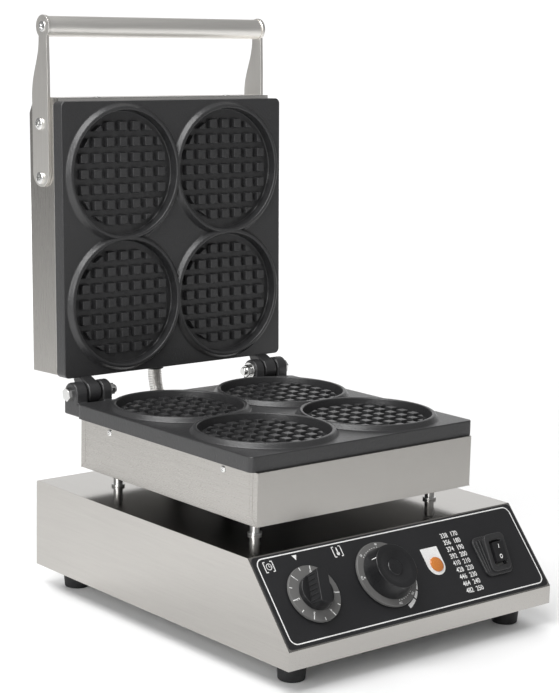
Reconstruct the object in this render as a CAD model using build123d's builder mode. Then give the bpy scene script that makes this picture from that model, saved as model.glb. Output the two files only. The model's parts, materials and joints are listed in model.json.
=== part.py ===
from build123d import *
from math import asin, atan2, cos, degrees, hypot, radians, sin, tan
import os

os.makedirs("parts", exist_ok=True)

# A countertop waffle maker with four round cavities and a lid that hinges at the back.
# Millimetres, +Z up, the front faces -Y. The origin is under the middle of the whole
# object with its lid open, on the surface that the feet stand on.

# Base housing
base_width = 300.0
base_depth = 360.0
base_body_height = 79.0
lip_height = 16.0
slope_run = 53.5
base_sheet = 1.2
base_flange = 16.0
base_bend = 2.0
bottom_plate_sheet = 1.2
bottom_plate_gap = 0.4

# Feet
foot_height = 19.0
foot_bottom_radius = 11.1
foot_top_radius = 12.9
foot_edge = 1.5
foot_side_inset = 26.8
foot_front = 27.6
foot_back_inset = 27.0

# Screws
small_screw_radius = 2.0
small_head_radius = 3.8
small_head_height = 2.6
head_rim_share = 0.45
head_crown_share = 0.62
thread_play = 0.05
foot_screw_radius = 2.0
foot_screw_head_radius = 3.8
foot_screw_depth = 9.0
foot_socket_radius = 4.6
bottom_screw_inset = 19.0
screw_play = 0.3
screw_tail = 4.0

# Support posts, between the base top and the lower shell
post_radius = 4.2
post_inset_x = 21.35
post_inset_y = 28.2
post_gap = 15.2
post_stud_radius = 2.5
post_stud_tail = 9.0
post_collar_radius = 6.0
post_collar_height = 2.0
post_nut_flats = 8.0
post_nut_height = 4.0

# Shells, of thin steel sheet
shell_side_inset = 4.35
shell_front_reach = 2.9
shell_back_inset = 1.1
shell_sheet = 1.2
lower_shell_height = 45.3
upper_shell_height = 45.8
upper_shell_bevel_run = 14.1
upper_shell_bevel_drop = 7.9
seam_inset = 10.0
seam_width = 0.5
seam_depth = 0.3

# Cast plates
plate_width = 253.4
plate_depth = 250.6
plate_thickness = 13.2
plate_corner = 5.0
plate_edge = 1.0
plate_from_lip = 79.3
cavity_pitch = 119.0
cavity_radius = 57.6
cavity_floor_radius = 56.8
rim_height = 4.8
rim_top_radius = 60.6
rim_foot_radius = 63.7
rim_gap = 2.15
cavity_depth = 4.6
peg_pitch = 14.3
peg_base = 9.9
peg_top = 8.5
peg_height = 5.2
pegs_per_row = 7
peg_field_radius = 50.5
boss_radius = 5.0
lug_thickness = 8.0
lug_width = 14.0
lug_gap = 0.3
shell_screw_drop = 5.5
shell_screw_inset = 45.0
shell_screw_length = 9.0
upper_screw_inset = 47.35

# Hinge
hinge_behind_plate = 13.1
hinge_above_face = 6.4
open_angle = 91.915
ear_radius = 10.5
outer_ear_width = 12.0
inner_ear_width = 10.0
knuckle_slot = 17.0
knuckle_width = 13.4
outer_ear_inset = 2.2
ear_web = 4.0
bolt_radius = 4.0
running_play = 0.05
bolt_flats = 13.0
bolt_head_height = 5.3
nut_flats = 13.0
nut_height = 6.5
washer_radius = 8.0
washer_height = 1.6
bolt_tip = 1.6

# Handle
arm_sheet = 3.0
arm_eye_radius = 10.5
arm_body_low = 24.0
arm_body_high = 50.0
arm_neck = 13.0
arm_neck_drop = 9.0
arm_waist = 20.0
arm_waist_shift = 3.0
arm_eye_depth = 31.0
arm_eye_beyond_plate = 66.3
arm_overlap = 80.6
arm_screw_insets = (23.6, 72.6)
arm_screw_length = 10.0
end_screw_head_radius = 5.2
plug_play = 0.1
arm_screw_depth = 37.3
handle_tube_radius = 9.5
handle_tube_wall = 1.5
handle_plug_length = 14.0
arm_screw_radius = 2.5
arm_head_radius = 5.5
arm_head_height = 3.0

# Control panel on the slope
panel_margin = 1.0
panel_side_margin = 1.5
panel_sheet = 0.6
panel_corner = 4.0
timer_from_side = 46.0
timer_up = 41.0
timer_skirt_radius = 24.9
timer_skirt_height = 4.0
timer_hub_radius = 15.2
timer_hub_height = 9.0
timer_grip_height = 19.0
timer_grip_width = 19.0
timer_grip_top_width = 10.5
timer_grip_turn = 18.0
temperature_from_timer = 80.0
temperature_up = 43.0
temperature_skirt_radius = 29.6
temperature_skirt_height = 4.0
temperature_grip_radius = 23.2
temperature_grip_top_radius = 20.0
temperature_knob_height = 19.0
dish_radius = 15.5
dish_depth = 2.5
knob_lift = 0.8
knob_edge = 1.0
knob_shaft_radius = 3.0
shaft_flat = 0.8
shaft_flat_length = 8.0
shaft_top = 13.0
shaft_grip = 10.0
skirt_taper = 12.0
shaft_hole_play = 0.6
control_body_depth = 24.0
control_body_width = 36.0
bulb_radius = 3.0
bulb_length = 90.0
lamp_from_temperature = 59.0
lamp_up = 42.0
lamp_radius = 6.75
lamp_lens_height = 2.4
lamp_body_radius = 5.0
lamp_body_length = 18.0

# Power switch
switch_from_side = 48.5
switch_up = 38.5
switch_width = 27.0
switch_height = 37.0
switch_corner = 6.0
switch_flange = 2.5
shroud_width = 24.0
shroud_height = 32.0
shroud_top_rise = 12.0
shroud_bottom_rise = 4.5
shroud_corner = 5.0
switch_window_width = 14.0
switch_window_height = 21.0
rocker_width = 12.8
rocker_height = 16.5
rocker_thickness = 5.5
rocker_low_face = 7.9
rocker_high_face = 12.6
rocker_dip = 0.5
rocker_below_middle = 0.75
rocker_pivot_height = 5.0
rocker_pin_length = 1.6
rocker_pin_radius = 1.0
switch_body_depth = 22.0
switch_body_width = 21.0
switch_body_height = 28.0

# Wiring tube, conduit and cable glands
wire_tube_radius = 8.0
wire_tube_wall = 1.0
wire_tube_behind = 62.0
wire_tube_lip = 3.0
wire_tube_tail = 8.0
conduit_radius = 6.8
conduit_bore = 5.0
conduit_rib_depth = 0.7
conduit_rib_pitch = 4.4
rib_crest_share = 0.5
conduit_corner = 28.0
conduit_straight = 8.0
gland_cap_radius = 8.6
gland_bore = 4.6
gland_neck_tail = 2.0
gland_flats = 18.0
gland_height = 8.0
gland_nut_height = 4.0
gland_neck_radius = 6.0
gland_behind_shell = 15.4
lid_gland_depth = 36.0
mains_gland_from_side = 55.0
mains_gland_up = 26.0
mains_gland_bore = 4.0

# Inside parts
element_radius = 3.3
element_ring = 62.0
element_end = 12.0
element_bend = 20.0
element_gap = 0.3
clamp_width = 14.0
clamp_thickness = 2.0
clamp_y = 40.0
clamp_screw_x = 30.0
terminal_length = 60.0
terminal_width = 22.0
terminal_height = 16.0
terminal_ways = 5

# Places and sizes worked out from those above
foot_x = base_width / 2 - foot_side_inset
foot_back = base_depth - foot_back_inset
bottom_screw_x = base_width / 2 - bottom_screw_inset
shell_width = plate_width - 2 * shell_side_inset
shell_depth = plate_depth + shell_front_reach - shell_back_inset
shell_from_lip = plate_from_lip - shell_front_reach
post_spacing_x = shell_width - 2 * post_inset_x
post_spacing_y = shell_depth - 2 * post_inset_y
upper_screw_x = shell_width / 2 - upper_screw_inset
panel_width = base_width - 2 * panel_side_margin
timer_x = timer_from_side - base_width / 2
temperature_x = timer_x + temperature_from_timer
lamp_x = temperature_x + lamp_from_temperature
switch_x = base_width / 2 - switch_from_side
mains_gland_x = base_width / 2 - mains_gland_from_side
face_gap = 2 * rim_height + rim_gap
lid_face_above_hinge = face_gap - hinge_above_face
lid_back_depth = lid_face_above_hinge + plate_thickness + upper_shell_height
hinge_from_lip = plate_from_lip + plate_depth + hinge_behind_plate
shell_far_u = hinge_from_lip - shell_from_lip
shell_near_u = shell_far_u - shell_depth
bevel_from_hinge = shell_far_u - upper_shell_bevel_run
arm_screw_us = [shell_far_u - inset for inset in arm_screw_insets]
lid_swing = radians(open_angle)
whole_reach = hinge_from_lip - bevel_from_hinge * cos(lid_swing) + lid_back_depth * sin(lid_swing)
lip_y = -whole_reach / 2
hinge_y = lip_y + hinge_from_lip
underside_z = foot_height
base_top_z = underside_z + base_body_height
shell_bottom_z = base_top_z + post_gap
plate_bottom_z = shell_bottom_z + lower_shell_height
plate_face_z = plate_bottom_z + plate_thickness
hinge_z = plate_face_z + hinge_above_face
plate_middle_y = lip_y + plate_from_lip + plate_depth / 2
shell_middle_y = lip_y + shell_from_lip + shell_depth / 2
base_middle_y = lip_y + base_depth / 2
shell_screw_spots = [shell_middle_y + end * (shell_depth / 2 - shell_screw_inset) for end in (-1, 1)]
slope_rise = base_body_height - lip_height
slope_length = hypot(slope_run, slope_rise)
slope_angle = degrees(atan2(slope_rise, slope_run))
lip_top_z = underside_z + lip_height
outer_ear_face = plate_width / 2 - outer_ear_inset
slot_outer = outer_ear_face - outer_ear_width
slot_inner = slot_outer - knuckle_slot
inner_ear_face = slot_inner - inner_ear_width
knuckle_middle = (slot_outer + slot_inner) / 2
clamp_drop = 2 * element_radius + element_gap
clamp_screw_grip = clamp_drop + screw_tail

# Planes. The lid's own plane is the opened one: x to the right, y away from the
# hinge, z out of the cast face. On the lower plate y points towards the hinge.
right = Vector(1, 0, 0)
away = Vector(0, -cos(lid_swing), sin(lid_swing))
outward = Vector(0, -sin(lid_swing), -cos(lid_swing))
hinge_point = Vector(0, hinge_y, hinge_z)
lid_side = Plane(origin=hinge_point, x_dir=away, z_dir=-right)
plate_middle_u = hinge_behind_plate + plate_depth / 2
lower_face = Plane(origin=(0, plate_middle_y, plate_face_z))
upper_face = Plane(
    origin=hinge_point + away * plate_middle_u - outward * lid_face_above_hinge,
    x_dir=right,
    z_dir=outward,
)
slope_turn = radians(slope_angle)
slope = Plane(
    origin=(0, lip_y, lip_top_z),
    x_dir=right,
    z_dir=(0, -sin(slope_turn), cos(slope_turn)),
)


# Shared shapes

def local_plane(plane, x, y, z=0.0):
    # A plane alongside the given one, with its origin at a local point
    return Plane(origin=plane.from_local_coords((x, y, z)), x_dir=plane.x_dir, z_dir=plane.z_dir)


def standing(place):
    # The plane of a turned profile: its y axis is the place's own normal
    return Plane(origin=place.origin, x_dir=place.x_dir, z_dir=-place.y_dir)


def dome_middle(radius, edge, crown):
    # The middle point of a round profile from (radius, edge) to (0, crown) on the axis
    rise = crown - edge
    sphere = (radius**2 + rise**2) / (2 * rise)
    half_turn = asin(radius / sphere) / 2
    return sphere * sin(half_turn), crown - sphere + sphere * cos(half_turn)


def add_pan_screw(place, shank, head, head_height, length):
    # The head sits on the place's plane, and the shank goes in behind it
    with BuildSketch(standing(place)) as outline:
        with BuildLine():
            Polyline(
                (0, head_height),
                (0, -length),
                (shank, -length),
                (shank, 0),
                (head, 0),
                (head, head_height * head_rim_share),
                (head * head_crown_share, head_height),
                close=True,
            )
        make_face()
    revolve(outline.sketch, axis=Axis(place.origin, place.z_dir))


def add_hex(place, flats, height):
    with BuildSketch(place) as outline:
        RegularPolygon(flats / 2, 6, major_radius=False)
    extrude(outline.sketch, amount=height)


def add_rod(place, radius, length):
    with BuildSketch(place) as outline:
        Circle(radius)
    extrude(outline.sketch, amount=length)


def cut_rod(place, radius, length):
    with BuildSketch(place) as outline:
        Circle(radius)
    extrude(outline.sketch, amount=length, mode=Mode.SUBTRACT)


def cut_through(place, radius, reach):
    # A round hole through what lies within reach to either side of the place
    with BuildSketch(place) as outline:
        Circle(radius)
    extrude(outline.sketch, amount=reach, both=True, mode=Mode.SUBTRACT)


# Places that several pieces share
corners = (
    ("front_left", -1, -1),
    ("front_right", 1, -1),
    ("back_left", -1, 1),
    ("back_right", 1, 1),
)
foot_spots = [(side * foot_x, lip_y + (foot_front if end < 0 else foot_back)) for _, side, end in corners]
post_spots = [
    (side * post_spacing_x / 2, shell_middle_y + end * post_spacing_y / 2) for _, side, end in corners
]
flange_middle = base_flange / 2
bottom_screw_spots = [
    (side * x, lip_y + y)
    for side in (-1, 1)
    for x, y in (
        (bottom_screw_x, flange_middle),
        (bottom_screw_x, base_depth - flange_middle),
        (base_width / 2 - flange_middle, foot_back),
    )
]
timer_place = local_plane(slope, timer_x, timer_up)
temperature_place = local_plane(slope, temperature_x, temperature_up)
lamp_place = local_plane(slope, lamp_x, lamp_up)
switch_place = local_plane(slope, switch_x, switch_up)
base_back = Plane(origin=(0, lip_y + base_depth, underside_z), x_dir=(-1, 0, 0), z_dir=(0, 1, 0))
mains_place = local_plane(base_back, mains_gland_x, mains_gland_up)
conduit_y = lip_y + shell_from_lip + shell_depth + gland_behind_shell
wire_tube_y = shell_middle_y + wire_tube_behind

# Base housing: one folded sheet, open below, with flanges turned in
flange_top_z = underside_z + bottom_plate_sheet + base_sheet
inner_top_z = base_top_z - base_sheet
inner_lip_z = lip_top_z - base_sheet * (1 - sin(slope_turn)) / cos(slope_turn)
inner_fold_y = lip_y + slope_run + base_sheet * (1 - cos(slope_turn)) / sin(slope_turn)
shaft_hole_radius = knob_shaft_radius + shaft_hole_play
with BuildPart() as base_housing:
    with BuildSketch(Plane.YZ):
        with BuildLine():
            Polyline(
                (lip_y, underside_z),
                (lip_y, lip_top_z),
                (lip_y + slope_run, base_top_z),
                (lip_y + base_depth, base_top_z),
                (lip_y + base_depth, underside_z),
                close=True,
            )
        make_face()
    extrude(amount=base_width / 2, both=True)
    cross_folds = base_housing.edges().filter_by(Axis.X).filter_by_position(
        Axis.Z, lip_top_z - base_sheet, base_top_z + base_sheet
    )
    fillet(cross_folds, base_bend)
    with BuildSketch(Plane.YZ):
        with BuildLine():
            Polyline(
                (lip_y + base_sheet, flange_top_z),
                (lip_y + base_sheet, inner_lip_z),
                (inner_fold_y, inner_top_z),
                (lip_y + base_depth - base_sheet, inner_top_z),
                (lip_y + base_depth - base_sheet, flange_top_z),
                close=True,
            )
        make_face()
    extrude(amount=base_width / 2 - base_sheet, both=True, mode=Mode.SUBTRACT)
    with BuildSketch(Plane.XY.offset(underside_z)):
        with Locations((0, base_middle_y)):
            Rectangle(base_width - 2 * base_flange, base_depth - 2 * base_flange)
    extrude(amount=flange_top_z - underside_z, mode=Mode.SUBTRACT)
    with BuildSketch(Plane.XY.offset(underside_z)):
        with Locations((0, base_middle_y)):
            Rectangle(base_width - 2 * base_sheet, base_depth - 2 * base_sheet)
    extrude(amount=bottom_plate_sheet, mode=Mode.SUBTRACT)
    for x, y in post_spots:
        cut_through(Plane(origin=(x, y, base_top_z)), post_stud_radius + screw_play, 2 * base_sheet)
    for x, y in bottom_screw_spots:
        cut_through(Plane(origin=(x, y, flange_top_z)), small_screw_radius + thread_play, 2 * base_sheet)
    for place in (timer_place, temperature_place):
        cut_through(place, shaft_hole_radius, 2 * base_sheet)
    cut_through(lamp_place, lamp_body_radius + screw_play, 2 * base_sheet)
    with BuildSketch(switch_place):
        Rectangle(switch_body_width + screw_play, switch_body_height + screw_play)
    extrude(amount=2 * base_sheet, both=True, mode=Mode.SUBTRACT)
    cut_through(Plane(origin=(0, conduit_y, base_top_z)), gland_neck_radius + screw_play, 2 * base_sheet)
    cut_through(Plane(origin=(0, wire_tube_y, base_top_z)), wire_tube_radius + screw_play, 2 * base_sheet)
    cut_through(mains_place, gland_neck_radius + screw_play, 2 * base_sheet)
base_housing.part.label = "base_housing"
export_step(base_housing.part, "parts/base_housing.step")

# Bottom plate, let in between the folds of the housing
with BuildPart() as base_bottom_plate:
    with BuildSketch(Plane.XY.offset(underside_z)):
        with Locations((0, base_middle_y)):
            Rectangle(
                base_width - 2 * (base_sheet + bottom_plate_gap),
                base_depth - 2 * (base_sheet + bottom_plate_gap),
            )
    extrude(amount=bottom_plate_sheet)
    for x, y in bottom_screw_spots:
        cut_through(Plane(origin=(x, y, underside_z)), small_screw_radius + screw_play, 2 * base_sheet)
    for x, y in foot_spots:
        cut_through(Plane(origin=(x, y, underside_z)), foot_screw_radius + screw_play, 2 * base_sheet)
base_bottom_plate.part.label = "base_bottom_plate"
export_step(base_bottom_plate.part, "parts/base_bottom_plate.step")

with BuildPart() as bottom_plate_screws:
    for x, y in bottom_screw_spots:
        under = Plane(origin=(x, y, underside_z), x_dir=right, z_dir=(0, 0, -1))
        add_pan_screw(under, small_screw_radius, small_head_radius, small_head_height, 2 * screw_tail)
bottom_plate_screws.part.label = "bottom_plate_screws"
export_step(bottom_plate_screws.part, "parts/bottom_plate_screws.step")

# Feet: tapered rubber, each with a socket for its screw
foot_slope = degrees(atan2(foot_top_radius - foot_bottom_radius, foot_height))
for (name, _, _), (x, y) in zip(corners, foot_spots):
    floor_plane = Plane(origin=(x, y, 0))
    with BuildPart() as foot:
        with BuildSketch(floor_plane):
            Circle(foot_bottom_radius)
        extrude(amount=foot_height, taper=-foot_slope)
        chamfer(foot.faces().sort_by(Axis.Z)[0].edges(), foot_edge)
        cut_rod(floor_plane, foot_socket_radius, foot_screw_depth)
        cut_rod(floor_plane, foot_screw_radius + screw_play, foot_height)
    foot.part.label = name + "_foot"
    export_step(foot.part, "parts/" + name + "_foot.step")

with BuildPart() as foot_screws:
    for x, y in foot_spots:
        seat = Plane(origin=(x, y, foot_screw_depth), x_dir=right, z_dir=(0, 0, -1))
        shank_length = foot_height - foot_screw_depth + bottom_plate_sheet + screw_tail
        add_pan_screw(seat, foot_screw_radius, foot_screw_head_radius, small_head_height, shank_length)
foot_screws.part.label = "foot_screws"
export_step(foot_screws.part, "parts/foot_screws.step")

# Support posts: a bright rod with a collar, and a stud at each end for its nut
for (name, _, _), (x, y) in zip(corners, post_spots):
    post_foot = Plane(origin=(x, y, base_top_z))
    post_head = Plane(origin=(x, y, shell_bottom_z))
    with BuildPart() as post:
        add_rod(post_foot, post_radius, post_gap)
        add_rod(post_foot, post_collar_radius, post_collar_height)
        add_rod(post_foot.offset(-post_stud_tail), post_stud_radius, post_stud_tail)
        add_rod(post_head, post_stud_radius, post_stud_tail)
    post.part.label = name + "_post"
    export_step(post.part, "parts/" + name + "_post.step")

with BuildPart() as post_nuts:
    for x, y in post_spots:
        for seat_z in (base_top_z - base_sheet - post_nut_height, shell_bottom_z + shell_sheet):
            seat = Plane(origin=(x, y, seat_z))
            add_hex(seat, post_nut_flats, post_nut_height)
            cut_rod(seat, post_stud_radius + thread_play, post_nut_height)
post_nuts.part.label = "post_nuts"
export_step(post_nuts.part, "parts/post_nuts.step")

# Lower shell: an open steel tray with a folded tab welded down each side
with BuildPart() as lower_shell:
    with BuildSketch(Plane(origin=(0, shell_middle_y, shell_bottom_z))):
        Rectangle(shell_width, shell_depth)
    extrude(amount=lower_shell_height)
    tray_top = lower_shell.faces().sort_by(Axis.Z)[-1]
    offset(amount=-shell_sheet, openings=tray_top)
    for side in (-1, 1):
        wall = Plane(origin=(side * shell_width / 2, 0, 0), x_dir=(0, 1, 0), z_dir=(1, 0, 0))
        with BuildSketch(wall):
            for end in (-1, 1):
                seam_y = shell_middle_y + end * (shell_depth / 2 - seam_inset)
                with Locations((seam_y, shell_bottom_z + lower_shell_height / 2 + seam_inset / 2)):
                    Rectangle(seam_width, lower_shell_height - seam_inset)
        extrude(amount=-side * seam_depth, mode=Mode.SUBTRACT)
        for y in shell_screw_spots:
            place = local_plane(wall, y, plate_bottom_z - shell_screw_drop)
            cut_through(place, small_screw_radius + screw_play, 2 * shell_sheet)
    for x, y in post_spots:
        cut_through(Plane(origin=(x, y, shell_bottom_z)), post_stud_radius + screw_play, 2 * shell_sheet)
    tube_hole = Plane(origin=(0, wire_tube_y, shell_bottom_z))
    cut_through(tube_hole, wire_tube_radius + screw_play, 2 * shell_sheet)
lower_shell.part.label = "lower_shell"
export_step(lower_shell.part, "parts/lower_shell.step")

with BuildPart() as lower_shell_screws:
    for side in (-1, 1):
        for y in shell_screw_spots:
            place = Plane(
                origin=(side * shell_width / 2, y, plate_bottom_z - shell_screw_drop),
                x_dir=(0, 1, 0),
                z_dir=(side, 0, 0),
            )
            add_pan_screw(place, small_screw_radius, small_head_radius, small_head_height, shell_screw_length)
lower_shell_screws.part.label = "lower_shell_screws"
export_step(lower_shell_screws.part, "parts/lower_shell_screws.step")

# Wiring tube from the base to the lower shell, with a lip against each sheet
with BuildPart() as wiring_tube:
    tube_foot = Plane(origin=(0, wire_tube_y, base_top_z - wire_tube_tail))
    tube_length = post_gap + 2 * wire_tube_tail
    add_rod(tube_foot, wire_tube_radius, tube_length)
    add_rod(Plane(origin=(0, wire_tube_y, base_top_z)), wire_tube_radius + wire_tube_lip, wire_tube_wall)
    add_rod(
        Plane(origin=(0, wire_tube_y, shell_bottom_z - wire_tube_wall)),
        wire_tube_radius + wire_tube_lip,
        wire_tube_wall,
    )
    cut_rod(tube_foot, wire_tube_radius - wire_tube_wall, tube_length)
wiring_tube.part.label = "wiring_tube"
export_step(wiring_tube.part, "parts/wiring_tube.step")


# Cast waffle plate, used for both halves: slab, rims that merge between the
# cavities, sunk floors, and a field of tapered pegs in each cavity
cavity_spots = [(x * cavity_pitch / 2, y * cavity_pitch / 2) for x in (-1, 1) for y in (-1, 1)]
cavity_floor = Plane.XY.offset(-cavity_depth)
wall_slope = degrees(atan2(cavity_radius - cavity_floor_radius, cavity_depth + rim_height))
rim_slope = degrees(atan2(rim_foot_radius - rim_top_radius, rim_height))
peg_slope = degrees(atan2((peg_base - peg_top) / 2, peg_height))
with BuildPart() as waffle_casting:
    with BuildSketch():
        RectangleRounded(plate_width, plate_depth, plate_corner)
    extrude(amount=-plate_thickness)
    chamfer(waffle_casting.faces().sort_by(Axis.Z)[-1].edges(), plate_edge)
    for spot in cavity_spots:
        with BuildSketch():
            with Locations(spot):
                Circle(rim_foot_radius)
        extrude(amount=rim_height, taper=rim_slope)
    for spot in cavity_spots:
        with BuildSketch(cavity_floor):
            with Locations(spot):
                Circle(cavity_floor_radius)
        extrude(amount=cavity_depth + rim_height, taper=-wall_slope, mode=Mode.SUBTRACT)
    for x, y in cavity_spots:
        with BuildSketch(local_plane(cavity_floor, x, y)):
            with GridLocations(peg_pitch, peg_pitch, pegs_per_row, pegs_per_row):
                Rectangle(peg_base, peg_base)
            Circle(peg_field_radius, mode=Mode.INTERSECT)
    extrude(amount=peg_height, taper=peg_slope, clean=False)


def add_clamp_bosses(face):
    # Round bosses behind the slab carry the element's clamp bars
    back = face.offset(-plate_thickness)
    for x in (-clamp_screw_x, clamp_screw_x):
        for y in (-clamp_y, clamp_y):
            boss = local_plane(back, x, y)
            with BuildSketch(boss) as outline:
                Circle(boss_radius)
            extrude(outline.sketch, amount=-clamp_drop)
            cut_rod(boss.offset(-clamp_drop), small_screw_radius + thread_play, clamp_screw_grip)


pin_plane = Plane(origin=(0, hinge_y, hinge_z), x_dir=(0, 1, 0), z_dir=(1, 0, 0))

with BuildPart() as lower_plate:
    web_middle = (ear_radius - hinge_behind_plate) / 2
    for side in (-1, 1):
        ear_middles = (
            (outer_ear_face - outer_ear_width / 2, outer_ear_width),
            (inner_ear_face + inner_ear_width / 2, inner_ear_width),
        )
        for middle, width in ear_middles:
            with BuildSketch(pin_plane.offset(side * middle)):
                with BuildLine():
                    Polyline(
                        (-ear_radius, 0),
                        (-ear_radius, -hinge_above_face - plate_edge),
                        (-hinge_behind_plate - plate_edge, -hinge_above_face - plate_edge),
                        (-hinge_behind_plate - plate_edge, -hinge_above_face - plate_thickness),
                        (ear_radius, -hinge_above_face - plate_thickness),
                        (ear_radius, 0),
                    )
                    ThreePointArc((ear_radius, 0), (0, ear_radius), (-ear_radius, 0))
                make_face()
            extrude(amount=width / 2, both=True)
        with BuildSketch(pin_plane.offset(side * knuckle_middle)):
            with Locations((web_middle, ear_web / 2 - hinge_above_face - plate_thickness)):
                Rectangle(ear_radius + hinge_behind_plate, ear_web)
        extrude(amount=knuckle_slot / 2, both=True)
    cut_through(pin_plane, bolt_radius + running_play, plate_width)
    add_clamp_bosses(lower_face)
    for side in (-1, 1):
        for y in shell_screw_spots:
            lug_x = side * (shell_width / 2 - shell_sheet - lug_gap - lug_thickness / 2)
            with BuildSketch(Plane(origin=(lug_x, y, plate_bottom_z))):
                Rectangle(lug_thickness, lug_width)
            extrude(amount=-2 * shell_screw_drop)
            lug_face = local_plane(Plane.YZ, y, plate_bottom_z - shell_screw_drop, lug_x)
            cut_through(lug_face, small_screw_radius + thread_play, lug_thickness)
    with Locations(lower_face.location):
        add(waffle_casting.part)
lower_plate.part.label = "lower_plate"
export_step(lower_plate.part, "parts/lower_plate.step")

# Upper plate: the same casting, with a knuckle on an arm at each side
def lid_point(x, u, v):
    # x to the right, u away from the hinge pin, v behind it, as the lid stands open
    return hinge_point + right * x + away * u - outward * v


plate_near_u = hinge_behind_plate
plate_back_v = lid_face_above_hinge + plate_thickness
with BuildPart() as upper_plate:
    for side in (-1, 1):
        with BuildSketch(lid_side.offset(side * knuckle_middle)):
            with BuildLine():
                CenterArc((0, 0), ear_radius, 0, 360)
                Line(
                    (plate_near_u + plate_edge, lid_face_above_hinge + plate_edge),
                    (plate_near_u + plate_edge, plate_back_v),
                )
            make_hull()
        extrude(amount=knuckle_width / 2, both=True)
    cut_through(pin_plane, bolt_radius + running_play, plate_width)
    add_clamp_bosses(upper_face)
    for x in (-upper_screw_x, upper_screw_x):
        for u, toward in ((shell_near_u, 1), (shell_far_u, -1)):
            lug_u = u + toward * (shell_sheet + lug_gap + lug_thickness / 2)
            with BuildSketch(Plane(origin=lid_point(x, lug_u, plate_back_v), x_dir=right, z_dir=-outward)):
                Rectangle(lug_width, lug_thickness)
            extrude(amount=2 * shell_screw_drop)
            lug_middle = lid_point(x, lug_u, plate_back_v + shell_screw_drop)
            lug_face = Plane(origin=lug_middle, x_dir=right, z_dir=away)
            cut_through(lug_face, small_screw_radius + thread_play, lug_thickness)
    with Locations(upper_face.location):
        add(waffle_casting.part)
upper_plate.part.label = "upper_plate"
export_step(upper_plate.part, "parts/upper_plate.step")

# Hinge pins: a bolt from each side through the ears and the knuckle, with its nut
for name, side in (("left", -1), ("right", 1)):
    bolt_length = outer_ear_face - inner_ear_face + washer_height + nut_height + bolt_tip
    seat = Plane(origin=(side * outer_ear_face, hinge_y, hinge_z), x_dir=(0, 1, 0), z_dir=(side, 0, 0))
    with BuildPart() as hinge_bolt:
        add_hex(seat, bolt_flats, bolt_head_height)
        add_rod(seat, bolt_radius, -bolt_length)
    hinge_bolt.part.label = "hinge_bolt_" + name
    export_step(hinge_bolt.part, "parts/hinge_bolt_" + name + ".step")

with BuildPart() as hinge_nuts:
    for side in (-1, 1):
        seat_x = side * (inner_ear_face - washer_height)
        seat = Plane(origin=(seat_x, hinge_y, hinge_z), x_dir=(0, 1, 0), z_dir=(-side, 0, 0))
        add_hex(seat, nut_flats, nut_height)
        cut_rod(seat, bolt_radius + thread_play, nut_height)
hinge_nuts.part.label = "hinge_nuts"
export_step(hinge_nuts.part, "parts/hinge_nuts.step")

with BuildPart() as hinge_washers:
    for side in (-1, 1):
        seat = Plane(origin=(side * inner_ear_face, hinge_y, hinge_z), x_dir=(0, 1, 0), z_dir=(-side, 0, 0))
        add_rod(seat, washer_radius, washer_height)
        cut_rod(seat, bolt_radius + running_play, washer_height)
hinge_washers.part.label = "hinge_washers"
export_step(hinge_washers.part, "parts/hinge_washers.step")

# Upper shell: a folded steel box, open towards the plate, bevelled at the handle end
shell_back_v = plate_back_v + upper_shell_height
gland_v = lid_face_above_hinge + lid_gland_depth
arm_screw_v = lid_face_above_hinge + arm_screw_depth
with BuildPart() as upper_shell:
    with BuildSketch(lid_side):
        with BuildLine():
            Polyline(
                (shell_near_u, plate_back_v),
                (shell_near_u, shell_back_v),
                (shell_far_u - upper_shell_bevel_run, shell_back_v),
                (shell_far_u, shell_back_v - upper_shell_bevel_drop),
                (shell_far_u, plate_back_v),
                close=True,
            )
        make_face()
    extrude(amount=shell_width / 2, both=True)
    mouth = upper_shell.faces().sort_by(Axis(hinge_point, -outward))[0]
    offset(amount=-shell_sheet, openings=mouth)
    for u in arm_screw_us:
        screw_line = Plane(origin=lid_point(0, u, arm_screw_v), x_dir=away, z_dir=right)
        cut_through(screw_line, arm_screw_radius + screw_play, shell_width)
    for x in (-upper_screw_x, upper_screw_x):
        screw_line = Plane(
            origin=lid_point(x, plate_middle_u, plate_back_v + shell_screw_drop), x_dir=right, z_dir=away
        )
        cut_through(screw_line, small_screw_radius + screw_play, shell_depth)
    gland_seat = Plane(origin=lid_point(0, shell_near_u, gland_v), x_dir=right, z_dir=-away)
    cut_through(gland_seat, gland_neck_radius + screw_play, 2 * shell_sheet)
upper_shell.part.label = "upper_shell"
export_step(upper_shell.part, "parts/upper_shell.step")

with BuildPart() as upper_shell_screws:
    for x in (-upper_screw_x, upper_screw_x):
        for u, toward in ((shell_near_u, -away), (shell_far_u, away)):
            seat = Plane(
                origin=lid_point(x, u, plate_back_v + shell_screw_drop), x_dir=right, z_dir=toward
            )
            add_pan_screw(seat, small_screw_radius, small_head_radius, small_head_height, shell_screw_length)
upper_shell_screws.part.label = "upper_shell_screws"
export_step(upper_shell_screws.part, "parts/upper_shell_screws.step")

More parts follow.
